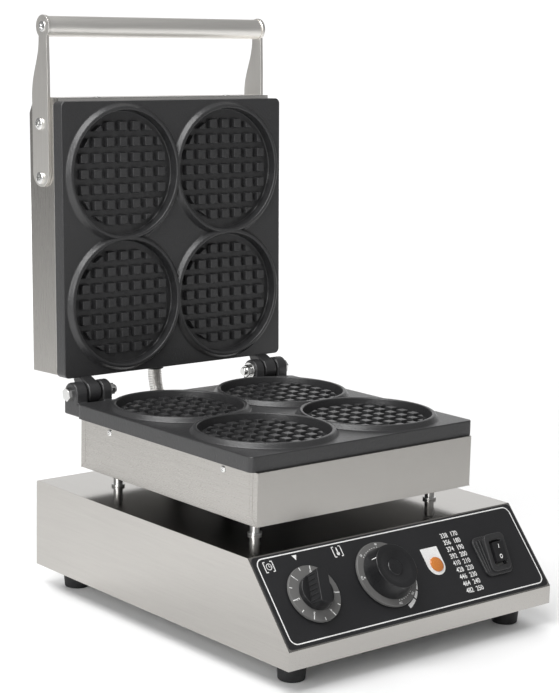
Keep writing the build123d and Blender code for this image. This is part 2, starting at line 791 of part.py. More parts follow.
# Handle arms: flat steel with a round end, a neck and an eye for the tube
eye_u = plate_near_u + plate_depth + arm_eye_beyond_plate
eye_v = lid_face_above_hinge + arm_eye_depth
body_low_v = lid_face_above_hinge + arm_body_low
body_high_v = lid_face_above_hinge + arm_body_high
body_middle_v = (body_low_v + body_high_v) / 2
body_end_radius = (body_high_v - body_low_v) / 2
body_start_u = shell_far_u - arm_overlap + body_end_radius
neck_u = eye_u - arm_neck_drop
waist_u = (neck_u + shell_far_u) / 2
arm_face = shell_width / 2
for name, side in (("left", -1), ("right", 1)):
    with BuildPart() as handle_arm:
        with BuildSketch(lid_side.offset(-side * (arm_face + arm_sheet / 2))):
            with BuildLine():
                Line((body_start_u, body_low_v), (shell_far_u, body_low_v))
                Spline(
                    (shell_far_u, body_low_v),
                    (waist_u, eye_v - arm_waist / 2 + arm_waist_shift),
                    (neck_u, eye_v - arm_neck / 2),
                    tangents=((1, 0), (1, 0)),
                )
                Line((neck_u, eye_v - arm_neck / 2), (eye_u, eye_v - arm_neck / 2))
                Line((eye_u, eye_v - arm_neck / 2), (eye_u, eye_v + arm_neck / 2))
                Line((eye_u, eye_v + arm_neck / 2), (neck_u, eye_v + arm_neck / 2))
                Spline(
                    (neck_u, eye_v + arm_neck / 2),
                    (waist_u, eye_v + arm_waist / 2 + arm_waist_shift),
                    (shell_far_u, body_high_v),
                    tangents=((-1, 0), (-1, 0)),
                )
                Line((shell_far_u, body_high_v), (body_start_u, body_high_v))
                ThreePointArc(
                    (body_start_u, body_high_v),
                    (body_start_u - body_end_radius, body_middle_v),
                    (body_start_u, body_low_v),
                )
            make_face()
            with Locations((eye_u, eye_v)):
                Circle(arm_eye_radius)
        extrude(amount=arm_sheet / 2, both=True)
        for u, v in [(eye_u, eye_v)] + [(u, arm_screw_v) for u in arm_screw_us]:
            hole = Plane(origin=lid_point(side * arm_face, u, v), x_dir=away, z_dir=right)
            cut_through(hole, arm_screw_radius + screw_play, 2 * arm_sheet)
    handle_arm.part.label = "handle_arm_" + name
    export_step(handle_arm.part, "parts/handle_arm_" + name + ".step")

with BuildPart() as handle_tube:
    tube_middle = Plane(origin=lid_point(0, eye_u, eye_v), x_dir=away, z_dir=right)
    with BuildSketch(tube_middle):
        Circle(handle_tube_radius)
        Circle(handle_tube_radius - handle_tube_wall, mode=Mode.SUBTRACT)
    extrude(amount=arm_face, both=True)
handle_tube.part.label = "handle_tube"
export_step(handle_tube.part, "parts/handle_tube.step")

with BuildPart() as handle_plugs:
    for side in (-1, 1):
        plug_end = Plane(origin=lid_point(side * arm_face, eye_u, eye_v), x_dir=away, z_dir=-side * right)
        add_rod(plug_end, handle_tube_radius - handle_tube_wall - plug_play, handle_plug_length)
        cut_rod(plug_end, arm_screw_radius + thread_play, handle_plug_length - handle_tube_wall)
handle_plugs.part.label = "handle_plugs"
export_step(handle_plugs.part, "parts/handle_plugs.step")

with BuildPart() as handle_end_screws:
    for side in (-1, 1):
        end_middle = lid_point(side * (arm_face + arm_sheet), eye_u, eye_v)
        seat = Plane(origin=end_middle, x_dir=away, z_dir=side * right)
        add_pan_screw(seat, arm_screw_radius, end_screw_head_radius, arm_head_height, handle_plug_length)
handle_end_screws.part.label = "handle_end_screws"
export_step(handle_end_screws.part, "parts/handle_end_screws.step")

with BuildPart() as handle_arm_screws:
    for side in (-1, 1):
        for u in arm_screw_us:
            outside = lid_point(side * (arm_face + arm_sheet), u, arm_screw_v)
            seat = Plane(origin=outside, x_dir=away, z_dir=side * right)
            add_pan_screw(seat, arm_screw_radius, arm_head_radius, arm_head_height, arm_screw_length)
handle_arm_screws.part.label = "handle_arm_screws"
export_step(handle_arm_screws.part, "parts/handle_arm_screws.step")

with BuildPart() as handle_arm_nuts:
    for side in (-1, 1):
        for u in arm_screw_us:
            inside = lid_point(side * (arm_face - shell_sheet), u, arm_screw_v)
            seat = Plane(origin=inside, x_dir=away, z_dir=-side * right)
            add_hex(seat, post_nut_flats, post_nut_height)
            cut_rod(seat, arm_screw_radius + thread_play, post_nut_height)
handle_arm_nuts.part.label = "handle_arm_nuts"
export_step(handle_arm_nuts.part, "parts/handle_arm_nuts.step")


# Heating elements: a bent tube behind each plate, held by clamp bars on the bosses
def add_element(face):
    middle = face.offset(-plate_thickness - element_gap / 2 - element_radius)
    points = [
        (-element_end, -element_ring),
        (-element_ring, -element_ring),
        (-element_ring, element_ring),
        (element_ring, element_ring),
        (element_ring, -element_ring),
        (element_end, -element_ring),
    ]
    with BuildLine(middle) as element_path:
        FilletPolyline(*points, radius=element_bend)
    with BuildSketch(Plane(origin=element_path.line @ 0, z_dir=element_path.line % 0)) as outline:
        Circle(element_radius)
    sweep(outline.sketch, path=element_path.line)


def add_clamp_bars(face):
    seat = face.offset(-plate_thickness - clamp_drop)
    for y in (-clamp_y, clamp_y):
        with BuildSketch(local_plane(seat, 0, y)) as outline:
            Rectangle(2 * element_ring + clamp_width, clamp_width)
            with Locations((-clamp_screw_x, 0), (clamp_screw_x, 0)):
                Circle(small_screw_radius + screw_play, mode=Mode.SUBTRACT)
        extrude(outline.sketch, amount=-clamp_thickness)


def add_clamp_screws(face):
    seat = face.offset(-plate_thickness - clamp_drop - clamp_thickness)
    for x in (-clamp_screw_x, clamp_screw_x):
        for y in (-clamp_y, clamp_y):
            place = local_plane(seat, x, y)
            add_hex(place, 2 * small_head_radius, -small_head_height)
            add_rod(place, small_screw_radius, clamp_thickness + clamp_drop)


with BuildPart() as lower_heating_element:
    add_element(lower_face)
lower_heating_element.part.label = "lower_heating_element"
export_step(lower_heating_element.part, "parts/lower_heating_element.step")

with BuildPart() as upper_heating_element:
    add_element(upper_face)
upper_heating_element.part.label = "upper_heating_element"
export_step(upper_heating_element.part, "parts/upper_heating_element.step")

with BuildPart() as lower_element_clamps:
    add_clamp_bars(lower_face)
lower_element_clamps.part.label = "lower_element_clamps"
export_step(lower_element_clamps.part, "parts/lower_element_clamps.step")

with BuildPart() as upper_element_clamps:
    add_clamp_bars(upper_face)
upper_element_clamps.part.label = "upper_element_clamps"
export_step(upper_element_clamps.part, "parts/upper_element_clamps.step")

with BuildPart() as lower_clamp_screws:
    add_clamp_screws(lower_face)
lower_clamp_screws.part.label = "lower_clamp_screws"
export_step(lower_clamp_screws.part, "parts/lower_clamp_screws.step")

with BuildPart() as upper_clamp_screws:
    add_clamp_screws(upper_face)
upper_clamp_screws.part.label = "upper_clamp_screws"
export_step(upper_clamp_screws.part, "parts/upper_clamp_screws.step")

# Sensing bulb of the thermostat, against the lower plate and over the clamp bars
with BuildPart() as thermostat_bulb:
    bulb_start = Plane(
        origin=(0, plate_middle_y - bulb_length / 2, plate_bottom_z - element_gap / 2 - bulb_radius),
        x_dir=right,
        z_dir=(0, 1, 0),
    )
    add_rod(bulb_start, bulb_radius, bulb_length)
thermostat_bulb.part.label = "thermostat_bulb"
export_step(thermostat_bulb.part, "parts/thermostat_bulb.step")

# Control panel: a thin black plate on the slope
with BuildPart() as control_panel:
    with BuildSketch(slope):
        with Locations((0, slope_length / 2)):
            RectangleRounded(panel_width, slope_length - 2 * panel_margin, panel_corner)
        for x, up in ((timer_x, timer_up), (temperature_x, temperature_up)):
            with Locations((x, up)):
                Circle(shaft_hole_radius, mode=Mode.SUBTRACT)
        with Locations((lamp_x, lamp_up)):
            Circle(lamp_body_radius + screw_play, mode=Mode.SUBTRACT)
        with Locations((switch_x, switch_up)):
            Rectangle(switch_body_width + screw_play, switch_body_height + screw_play, mode=Mode.SUBTRACT)
    extrude(amount=panel_sheet)
control_panel.part.label = "control_panel"
export_step(control_panel.part, "parts/control_panel.step")


# Timer and thermostat: a body behind the slope, and a shaft that turns in it
def add_control_body(place):
    back = place.offset(-base_sheet)
    with BuildSketch(back) as outline:
        RectangleRounded(control_body_width, control_body_width, base_bend)
    extrude(outline.sketch, amount=-control_body_depth)
    cut_rod(back, knob_shaft_radius + running_play, -(shaft_grip + element_gap))


def add_shaft(place):
    add_rod(place.offset(-base_sheet - shaft_grip), knob_shaft_radius, base_sheet + shaft_grip + shaft_top)
    flat = place.offset(shaft_top - shaft_flat_length)
    with BuildSketch(flat) as outline:
        with Locations((0, knob_shaft_radius - shaft_flat / 2)):
            Rectangle(2 * knob_shaft_radius, shaft_flat)
    extrude(outline.sketch, amount=shaft_flat_length, mode=Mode.SUBTRACT)


def cut_shaft_socket(place):
    # A D-shaped socket, with its flat over the flat of the shaft
    with BuildSketch(place.offset(knob_lift)) as outline:
        Circle(knob_shaft_radius + running_play)
        with Locations((0, knob_shaft_radius + running_play - shaft_flat / 2 + running_play)):
            Rectangle(2 * knob_shaft_radius, shaft_flat, mode=Mode.SUBTRACT)
    extrude(outline.sketch, amount=shaft_top - knob_lift + element_gap, mode=Mode.SUBTRACT)
    with BuildSketch(place.offset(knob_lift)) as outline:
        Circle(knob_shaft_radius + running_play)
    extrude(outline.sketch, amount=shaft_top - shaft_flat_length - knob_lift, mode=Mode.SUBTRACT)


with BuildPart() as timer_body:
    add_control_body(timer_place)
timer_body.part.label = "timer_body"
export_step(timer_body.part, "parts/timer_body.step")

with BuildPart() as thermostat_body:
    add_control_body(temperature_place)
thermostat_body.part.label = "thermostat_body"
export_step(thermostat_body.part, "parts/thermostat_body.step")

with BuildPart() as timer_shaft:
    add_shaft(timer_place)
timer_shaft.part.label = "timer_shaft"
export_step(timer_shaft.part, "parts/timer_shaft.step")

with BuildPart() as thermostat_shaft:
    add_shaft(temperature_place)
thermostat_shaft.part.label = "thermostat_shaft"
export_step(thermostat_shaft.part, "parts/thermostat_shaft.step")

# Timer knob: a bar grip scooped out of a round hub, on a flat skirt
knob_foot = panel_sheet + knob_lift
with BuildPart() as timer_knob:
    grip_turn = radians(timer_grip_turn)
    along = timer_place.y_dir * cos(grip_turn) + timer_place.x_dir * sin(grip_turn)
    with BuildSketch(Plane(origin=timer_place.origin, x_dir=along.cross(timer_place.z_dir), z_dir=-along)):
        with BuildLine():
            Polyline(
                (timer_grip_width / 2, timer_skirt_height),
                (timer_grip_top_width / 2, timer_grip_height),
                (-timer_grip_top_width / 2, timer_grip_height),
                (-timer_grip_width / 2, timer_skirt_height),
                close=True,
            )
        make_face()
    extrude(amount=timer_hub_radius, both=True)
    grip_ridges = timer_knob.faces().sort_by(Axis(timer_place.origin, timer_place.z_dir))[-1].edges()
    fillet(grip_ridges, knob_edge)
    with BuildSketch(timer_place):
        Circle(timer_hub_radius)
    extrude(amount=2 * timer_grip_height, mode=Mode.INTERSECT)
    with BuildSketch(timer_place.offset(knob_foot)):
        Circle(timer_skirt_radius)
    extrude(amount=timer_skirt_height - knob_foot, taper=skirt_taper)
    add_rod(timer_place.offset(timer_skirt_height), timer_hub_radius, timer_hub_height - timer_skirt_height)
    cut_shaft_socket(timer_place.offset(panel_sheet))
timer_knob.part.label = "timer_knob"
export_step(timer_knob.part, "parts/timer_knob.step")

# Temperature knob: a round grip with a dished top, on a flat skirt
with BuildPart() as temperature_knob:
    with BuildSketch(standing(temperature_place)):
        with BuildLine():
            dish_floor = temperature_knob_height - dish_depth
            skirt_edge = temperature_skirt_radius - knob_edge
            Polyline(
                (0, dish_floor),
                (0, knob_foot),
                (temperature_skirt_radius, knob_foot),
                (temperature_skirt_radius, temperature_skirt_height - knob_edge),
                (skirt_edge, temperature_skirt_height),
                (temperature_grip_radius, temperature_skirt_height),
                (temperature_grip_top_radius, temperature_knob_height - knob_edge),
                (temperature_grip_top_radius - knob_edge, temperature_knob_height),
                (dish_radius, temperature_knob_height),
            )
            ThreePointArc(
                (dish_radius, temperature_knob_height),
                dome_middle(dish_radius, temperature_knob_height, dish_floor),
                (0, dish_floor),
            )
        make_face()
    revolve(axis=Axis(temperature_place.origin, temperature_place.z_dir))
    cut_shaft_socket(temperature_place.offset(panel_sheet))
temperature_knob.part.label = "temperature_knob"
export_step(temperature_knob.part, "parts/temperature_knob.step")

# Indicator: a domed lens on the panel, and its lamp body behind
with BuildPart() as indicator_lens:
    with BuildSketch(standing(lamp_place)):
        with BuildLine():
            Polyline((0, panel_sheet + lamp_lens_height), (0, panel_sheet), (lamp_radius, panel_sheet))
            Line((lamp_radius, panel_sheet), (lamp_radius, panel_sheet + lamp_lens_height / 3))
            ThreePointArc(
                (lamp_radius, panel_sheet + lamp_lens_height / 3),
                dome_middle(lamp_radius, panel_sheet + lamp_lens_height / 3, panel_sheet + lamp_lens_height),
                (0, panel_sheet + lamp_lens_height),
            )
        make_face()
    revolve(axis=Axis(lamp_place.origin, lamp_place.z_dir))
indicator_lens.part.label = "indicator_lens"
export_step(indicator_lens.part, "parts/indicator_lens.step")

with BuildPart() as indicator_body:
    add_rod(lamp_place.offset(panel_sheet), lamp_body_radius, -lamp_body_length)
indicator_body.part.label = "indicator_body"
export_step(indicator_body.part, "parts/indicator_body.step")

# Power switch: bezel with a wedge-shaped shroud, rocker on two pins, body behind
rocker_place = local_plane(switch_place, 0, -rocker_below_middle, panel_sheet)
rocker_pin = Plane(
    origin=rocker_place.from_local_coords((0, 0, rocker_pivot_height)), x_dir=rocker_place.y_dir, z_dir=right
)
switch_side = Plane(origin=switch_place.origin, x_dir=switch_place.y_dir, z_dir=right)
with BuildPart() as switch_bezel:
    with BuildSketch(switch_side):
        with BuildLine():
            Polyline(
                (-shroud_height / 2, panel_sheet),
                (-shroud_height / 2, shroud_bottom_rise),
                (shroud_height / 2, shroud_top_rise),
                (shroud_height / 2, panel_sheet),
                close=True,
            )
        make_face()
    extrude(amount=shroud_width / 2, both=True)
    upright = switch_bezel.edges().filter_by(Axis(switch_place.origin, switch_place.z_dir))
    fillet(upright, shroud_corner)
    with BuildSketch(switch_place.offset(panel_sheet)):
        RectangleRounded(switch_width, switch_height, switch_corner)
    extrude(amount=switch_flange)
    with BuildSketch(rocker_place):
        Rectangle(switch_window_width, switch_window_height)
    extrude(amount=shroud_top_rise, mode=Mode.SUBTRACT)
    pin_reach = rocker_width / 2 + rocker_pin_length
    cut_through(rocker_pin, rocker_pin_radius + running_play, pin_reach + element_gap)
switch_bezel.part.label = "switch_bezel"
export_step(switch_bezel.part, "parts/switch_bezel.step")

with BuildPart() as switch_rocker:
    half = rocker_height / 2
    with BuildSketch(Plane(origin=rocker_place.origin, x_dir=rocker_place.y_dir, z_dir=right)):
        with BuildLine():
            Polyline(
                (-half, rocker_low_face - rocker_thickness),
                (-half, rocker_low_face),
                (0, (rocker_low_face + rocker_high_face) / 2 - rocker_dip),
                (half, rocker_high_face),
                (half, rocker_high_face - rocker_thickness),
                close=True,
            )
        make_face()
    extrude(amount=rocker_width / 2, both=True)
    with BuildSketch(rocker_pin):
        Circle(rocker_pin_radius)
    extrude(amount=pin_reach, both=True)
switch_rocker.part.label = "switch_rocker"
export_step(switch_rocker.part, "parts/switch_rocker.step")

with BuildPart() as switch_body:
    with BuildSketch(switch_place.offset(panel_sheet)):
        Rectangle(switch_body_width, switch_body_height)
    extrude(amount=-switch_body_depth)
switch_body.part.label = "switch_body"
export_step(switch_body.part, "parts/switch_body.step")

# Terminal block on the bottom plate, with a recess for each wire screw
with BuildPart() as terminal_block:
    block_top = Plane(origin=(0, base_middle_y, underside_z + bottom_plate_sheet + terminal_height))
    with BuildSketch(block_top):
        Rectangle(terminal_length, terminal_width)
    extrude(amount=-terminal_height)
    with BuildSketch(block_top):
        with GridLocations(terminal_length / terminal_ways, terminal_width / 2, terminal_ways, 2):
            Circle(foot_screw_radius)
    extrude(amount=-terminal_height / 2, mode=Mode.SUBTRACT)
terminal_block.part.label = "terminal_block"
export_step(terminal_block.part, "parts/terminal_block.step")


# Glands: a hexagon outside, a neck through the sheet and a nut behind it
def add_gland(seat, sheet, bore):
    add_hex(seat, gland_flats, gland_height / 2)
    add_rod(seat.offset(gland_height / 2), gland_cap_radius, gland_height / 2)
    add_rod(seat.offset(-sheet - gland_nut_height - gland_neck_tail), gland_neck_radius,
            sheet + gland_nut_height + gland_neck_tail)
    cut_through(seat, bore, 4 * gland_height)


def add_gland_nut(seat, sheet):
    add_hex(seat.offset(-sheet), gland_flats, -gland_nut_height)
    cut_rod(seat.offset(-sheet), gland_neck_radius + thread_play, -gland_nut_height)


base_gland_seat = Plane(origin=(0, conduit_y, base_top_z))
with BuildPart() as base_conduit_gland:
    add_gland(base_gland_seat, base_sheet, gland_bore)
base_conduit_gland.part.label = "base_conduit_gland"
export_step(base_conduit_gland.part, "parts/base_conduit_gland.step")

with BuildPart() as lid_conduit_gland:
    add_gland(gland_seat, shell_sheet, gland_bore)
lid_conduit_gland.part.label = "lid_conduit_gland"
export_step(lid_conduit_gland.part, "parts/lid_conduit_gland.step")

with BuildPart() as mains_cable_gland:
    add_gland(mains_place, base_sheet, mains_gland_bore)
mains_cable_gland.part.label = "mains_cable_gland"
export_step(mains_cable_gland.part, "parts/mains_cable_gland.step")

with BuildPart() as base_gland_nuts:
    add_gland_nut(base_gland_seat, base_sheet)
    add_gland_nut(mains_place, base_sheet)
base_gland_nuts.part.label = "base_gland_nuts"
export_step(base_gland_nuts.part, "parts/base_gland_nuts.step")

with BuildPart() as lid_gland_nut:
    add_gland_nut(gland_seat, shell_sheet)
lid_gland_nut.part.label = "lid_gland_nut"
export_step(lid_gland_nut.part, "parts/lid_gland_nut.step")

# Flexible conduit: a ribbed metal hose with its bore, from the base gland up to the
# lid gland. Its ends run straight, and two arcs join them.
conduit_foot = Vector(0, conduit_y, base_top_z + gland_height)
conduit_head = gland_seat.origin - away * gland_height
low_corner = conduit_foot + Vector(0, 0, conduit_corner)
high_corner = conduit_head - away * conduit_corner
conduit_run = high_corner - low_corner
low_turn = radians(conduit_run.get_angle(Vector(0, 0, 1)))
high_turn = radians(conduit_run.get_angle(away))
conduit_radii = [
    min(conduit_corner - conduit_straight, conduit_run.length / 2) / tan(turn / 2)
    for turn in (low_turn, high_turn)
]
print("conduit bends:", [round(radius, 1) for radius in conduit_radii])
with BuildLine() as conduit_path:
    FilletPolyline(conduit_foot, low_corner, high_corner, conduit_head, radius=conduit_radii)
conduit_line = conduit_path.wires()[0]
rib_count = int((conduit_line.length - 2 * conduit_radius) / conduit_rib_pitch)
rib_start = (conduit_line.length - rib_count * conduit_rib_pitch) / 2
rib_rings = [(0, 0)]
for rib in range(rib_count):
    foot = rib_start + rib * conduit_rib_pitch
    rib_rings += [(foot, 0), (foot + conduit_rib_pitch * rib_crest_share, 1)]
rib_rings += [(conduit_line.length - rib_start, 0), (conduit_line.length, 0)]


def conduit_plane(distance):
    share = distance / conduit_line.length
    return Plane(origin=conduit_line @ share, x_dir=right, z_dir=conduit_line % share)


with BuildPart() as lid_conduit:
    for distance, crest in rib_rings:
        with BuildSketch(conduit_plane(distance)):
            Circle(conduit_radius - (0 if crest else conduit_rib_depth))
    loft(ruled=True)
    with BuildSketch(conduit_plane(0)):
        Circle(conduit_bore)
    sweep(path=conduit_line, mode=Mode.SUBTRACT)
lid_conduit.part.label = "lid_conduit"
export_step(lid_conduit.part, "parts/lid_conduit.step")
print("conduit length:", round(conduit_line.length, 1))
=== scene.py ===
import json
import math
import bmesh
import bpy
from mathutils import Matrix, Vector

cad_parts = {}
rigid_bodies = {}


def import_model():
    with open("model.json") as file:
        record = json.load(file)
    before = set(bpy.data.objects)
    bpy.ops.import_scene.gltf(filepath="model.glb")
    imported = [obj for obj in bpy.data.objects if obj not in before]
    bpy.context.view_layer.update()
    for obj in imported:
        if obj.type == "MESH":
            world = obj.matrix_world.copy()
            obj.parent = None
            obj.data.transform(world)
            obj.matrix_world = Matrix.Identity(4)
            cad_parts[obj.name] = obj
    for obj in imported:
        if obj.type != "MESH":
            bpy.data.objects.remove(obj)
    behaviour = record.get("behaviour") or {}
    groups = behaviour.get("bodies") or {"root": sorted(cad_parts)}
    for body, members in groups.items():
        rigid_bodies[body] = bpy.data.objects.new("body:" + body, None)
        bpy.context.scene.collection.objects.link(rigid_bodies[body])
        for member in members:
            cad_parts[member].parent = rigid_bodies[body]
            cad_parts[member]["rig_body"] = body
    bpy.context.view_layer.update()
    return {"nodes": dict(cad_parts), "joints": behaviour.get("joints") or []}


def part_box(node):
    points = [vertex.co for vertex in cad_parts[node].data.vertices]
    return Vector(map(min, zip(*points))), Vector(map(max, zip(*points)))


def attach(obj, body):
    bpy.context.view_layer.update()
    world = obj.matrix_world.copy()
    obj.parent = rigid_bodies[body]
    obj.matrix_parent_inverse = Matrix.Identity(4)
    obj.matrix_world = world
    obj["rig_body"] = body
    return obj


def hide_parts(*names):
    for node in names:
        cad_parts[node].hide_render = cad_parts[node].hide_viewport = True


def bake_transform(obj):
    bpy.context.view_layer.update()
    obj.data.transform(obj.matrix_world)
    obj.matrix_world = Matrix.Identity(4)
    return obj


# A countertop waffle maker with four round cavities. Shapes are worked out in
# millimetres in the frame's own axes, and made metres when a piece is added.
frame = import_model()
mm = 0.001
print("solids loaded")


# Places that several pieces share
def shifted(x, y, z):
    return Matrix.Translation((x, y, z))


def turnedX(degrees):
    return Matrix.Rotation(math.radians(degrees), 4, "X")


def turnedY(degrees):
    return Matrix.Rotation(math.radians(degrees), 4, "Y")


def turnedZ(degrees):
    return Matrix.Rotation(math.radians(degrees), 4, "Z")


def placeAlong(origin, sideways, outward):
    # local x runs sideways, local z points outward
    z = outward.normalized()
    x = sideways.normalized()
    place = Matrix((x, z.cross(x), z)).transposed().to_4x4()
    place.translation = origin
    return place


def boxOf(node):
    return [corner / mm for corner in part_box(node)]


places = {
    "lidOpening": math.radians(91.915),
    "slopeRun": 53.5,
    "slopeRise": 63.0,
    "lipTop": 35.0,
    "panelSheet": 0.6,
    "plateFaceBelowPin": 6.4,
    "plateBehindPin": 13.1,
    "lidFaceAbovePin": 5.35,
}
across = Vector((1, 0, 0))
rearward = Vector((0, 1, 0))
upward = Vector((0, 0, 1))
lidJoint = next(joint for joint in frame["joints"] if joint["name"] == "lid_hinge")
pinPoint = Vector(lidJoint["pos_m"]) / mm
slopeAngle = math.atan2(places["slopeRise"], places["slopeRun"])
slopeFoot = Vector((0, boxOf("base_housing")[0].y, places["lipTop"]))
slopeOut = Vector((0, -math.sin(slopeAngle), math.cos(slopeAngle)))
slopePlace = placeAlong(slopeFoot, across, slopeOut)
lidOut = Vector((0, -math.sin(places["lidOpening"]), -math.cos(places["lidOpening"])))
lidPlace = placeAlong(pinPoint, across, lidOut)


def onSlope(x, up, out=0.0):
    return slopePlace @ shifted(x, up, places["panelSheet"] + out)


# Finishes
class Wire:
    # a node's output, with arithmetic that adds Math nodes
    def __init__(self, finish, socket):
        self.finish = finish
        self.socket = socket

    def reckon(self, operation, first, second):
        return self.finish.node("ShaderNodeMath", {"operation": operation}, {0: first, 1: second})

    def __add__(self, other):
        return self.reckon("ADD", self, other)

    def __radd__(self, other):
        return self.reckon("ADD", other, self)

    def __sub__(self, other):
        return self.reckon("SUBTRACT", self, other)

    def __rsub__(self, other):
        return self.reckon("SUBTRACT", other, self)

    def __mul__(self, other):
        return self.reckon("MULTIPLY", self, other)

    def __rmul__(self, other):
        return self.reckon("MULTIPLY", other, self)


class Finish:
    # a material's nodes, or the world's
    def __init__(self, name, owners=bpy.data.materials, coordinates="Object"):
        self.owner = owners.new(name)
        self.owner.use_nodes = True
        self.tree = self.owner.node_tree
        self.tree.nodes.clear()
        self.place = self.node("ShaderNodeTexCoord", output=coordinates)

    def node(self, kind, settings=None, sockets=None, output=0):
        made = self.tree.nodes.new(kind)
        for key, value in (settings or {}).items():
            if key == "stops":
                for stop, (position, shade) in zip(made.color_ramp.elements, value):
                    stop.position = position
                    stop.color = (shade, shade, shade, 1)
            else:
                setattr(made, key, value)
        for key, value in (sockets or {}).items():
            if isinstance(value, Wire):
                self.tree.links.new(value.socket, made.inputs[key])
            else:
                made.inputs[key].default_value = value
        return Wire(self, made.outputs[output]) if len(made.outputs) else made

    def grain(self, scale, detail=2.0, stretch=(1, 1, 1)):
        spots = self.node("ShaderNodeMapping", sockets={"Vector": self.place, "Scale": stretch})
        noise = {"Vector": spots, "Scale": scale, "Detail": detail}
        return self.node("ShaderNodeTexNoise", sockets=noise)

    def specks(self, scale, low, high):
        # a noise made to stand out between two levels
        noise = self.grain(scale, 3.0)
        return self.node("ShaderNodeValToRGB", {"stops": ((low, 0.0), (high, 1.0))}, {0: noise})

    def tint(self, amount, first, second):
        colours = {0: amount, 6: (*first, 1), 7: (*second, 1)}
        return self.node("ShaderNodeMix", {"data_type": "RGBA"}, colours, output=2)

    def finished(self, colour, roughness, height=None, strength=0.0, distance=0.0, others=None):
        sockets = {"Base Color": colour, "Roughness": roughness, **(others or {})}
        if height is not None:
            bump = {"Strength": strength, "Distance": distance, "Height": height}
            sockets["Normal"] = self.node("ShaderNodeBump", sockets=bump)
        surface = self.node("ShaderNodeBsdfPrincipled", sockets=sockets)
        self.node("ShaderNodeOutputMaterial", sockets={"Surface": surface})
        return self.owner


metal = {"Metallic": 1.0}


def brushedSteel(name, along, tone=(0.42, 0.406, 0.385), rough=0.27, worn=0.06):
    # fine scratches that run along one axis, with a faint cloudiness from wiping
    finish = Finish(name)
    stretch = [1.0 if axis == along else 55.0 for axis in "XYZ"]
    streaks = finish.grain(22.0, 4.0, stretch)
    fine = finish.grain(60.0, 2.0, stretch)
    clouds = finish.grain(9.0, 3.0)
    darker = [part * 0.90 for part in tone]
    lighter = [min(1.0, part * 1.12) for part in tone]
    colour = finish.tint(streaks * 0.7 + clouds * 0.3, darker, lighter)
    roughness = rough + fine * worn * 2.0 + clouds * worn - worn
    return finish.finished(colour, roughness, streaks + fine * 0.5, 0.10, 0.00004, metal)


def brightSteel(name, tone=(0.78, 0.78, 0.77), rough=0.13):
    finish = Finish(name)
    wiped = finish.grain(70.0, 3.0)
    fine = finish.grain(900.0, 2.0)
    colour = finish.tint(wiped, [part * 0.88 for part in tone], tone)
    roughness = rough + wiped * 0.08 + fine * 0.05
    return finish.finished(colour, roughness, fine, 0.06, 0.00003, metal)


def darkSteel():
    # heater sheath, heat-tinted
    finish = Finish("darkSteel")
    tinted = finish.grain(26.0, 4.0)
    fine = finish.grain(800.0, 2.0)
    colour = finish.tint(tinted, (0.19, 0.17, 0.16), (0.38, 0.35, 0.31))
    return finish.finished(colour, 0.38 + fine * 0.15, fine, 0.15, 0.00005, {"Metallic": 0.9})


def castCoat():
    # non-stick coat on a cast face: fine grain, rubbed a little lighter in places
    finish = Finish("castCoat")
    grain = finish.grain(650.0, 2.0)
    pits = finish.specks(420.0, 0.52, 0.66)
    clouds = finish.grain(14.0, 4.0)
    rubbed = clouds * 0.6 + grain * 0.4
    colour = finish.tint(rubbed, (0.014, 0.014, 0.015), (0.038, 0.038, 0.039))
    roughness = 0.24 + grain * 0.14 + clouds * 0.08
    relief = grain - pits * 0.4
    return finish.finished(colour, roughness, relief, 0.5, 0.0003, {"Specular IOR Level": 0.62})


def blackPlastic(name, dark, light, rough, grainScale=1400.0):
    finish = Finish(name)
    grain = finish.grain(grainScale, 2.0)
    clouds = finish.grain(30.0, 3.0)
    colour = finish.tint(clouds * 0.7 + grain * 0.3, dark, light)
    roughness = rough + grain * 0.10 + clouds * 0.06
    return finish.finished(colour, roughness, grain, 0.18, 0.00006)


def panelPaint():
    # satin film with a fine stipple
    finish = Finish("panelPaint")
    stipple = finish.specks(1700.0, 0.44, 0.62)
    clouds = finish.grain(20.0, 3.0)
    mottle = stipple * 0.5 + clouds * 0.5
    colour = finish.tint(mottle, (0.008, 0.008, 0.009), (0.020, 0.020, 0.022))
    roughness = 0.36 + stipple * 0.10 + clouds * 0.05
    return finish.finished(colour, roughness, stipple, 0.16, 0.00004)


def whitePrint():
    # screen print, thin at places
    finish = Finish("whitePrint")
    thin = finish.specks(2600.0, 0.30, 0.48)
    colour = finish.tint(thin, (0.62, 0.62, 0.61), (0.88, 0.88, 0.87))
    return finish.finished(colour, 0.52 - thin * 0.08, thin, 0.08, 0.00002)


def orangeLens():
    # a clear cap with small prisms inside, unlit
    finish = Finish("orangeLens")
    cells = {"Vector": finish.place, "Scale": 900.0}
    prisms = finish.node("ShaderNodeTexVoronoi", {"feature": "F1"}, cells, "Distance")
    deep = finish.grain(120.0, 2.0)
    depth = prisms * 0.6 + deep * 0.4
    colour = finish.tint(depth, (0.54, 0.155, 0.020), (0.66, 0.235, 0.045))
    clear = {"Coat Weight": 0.6, "Coat Roughness": 0.06, "IOR": 1.49}
    return finish.finished(colour, 0.16 + deep * 0.08, prisms, 0.30, 0.0002, clear)


def footRubber():
    finish = Finish("footRubber")
    grain = finish.grain(1100.0, 3.0)
    dust = finish.specks(90.0, 0.50, 0.75)
    colour = finish.tint(dust * 0.5, (0.011, 0.011, 0.012), (0.040, 0.039, 0.037))
    return finish.finished(colour, 0.62 + grain * 0.14, grain, 0.30, 0.0001)


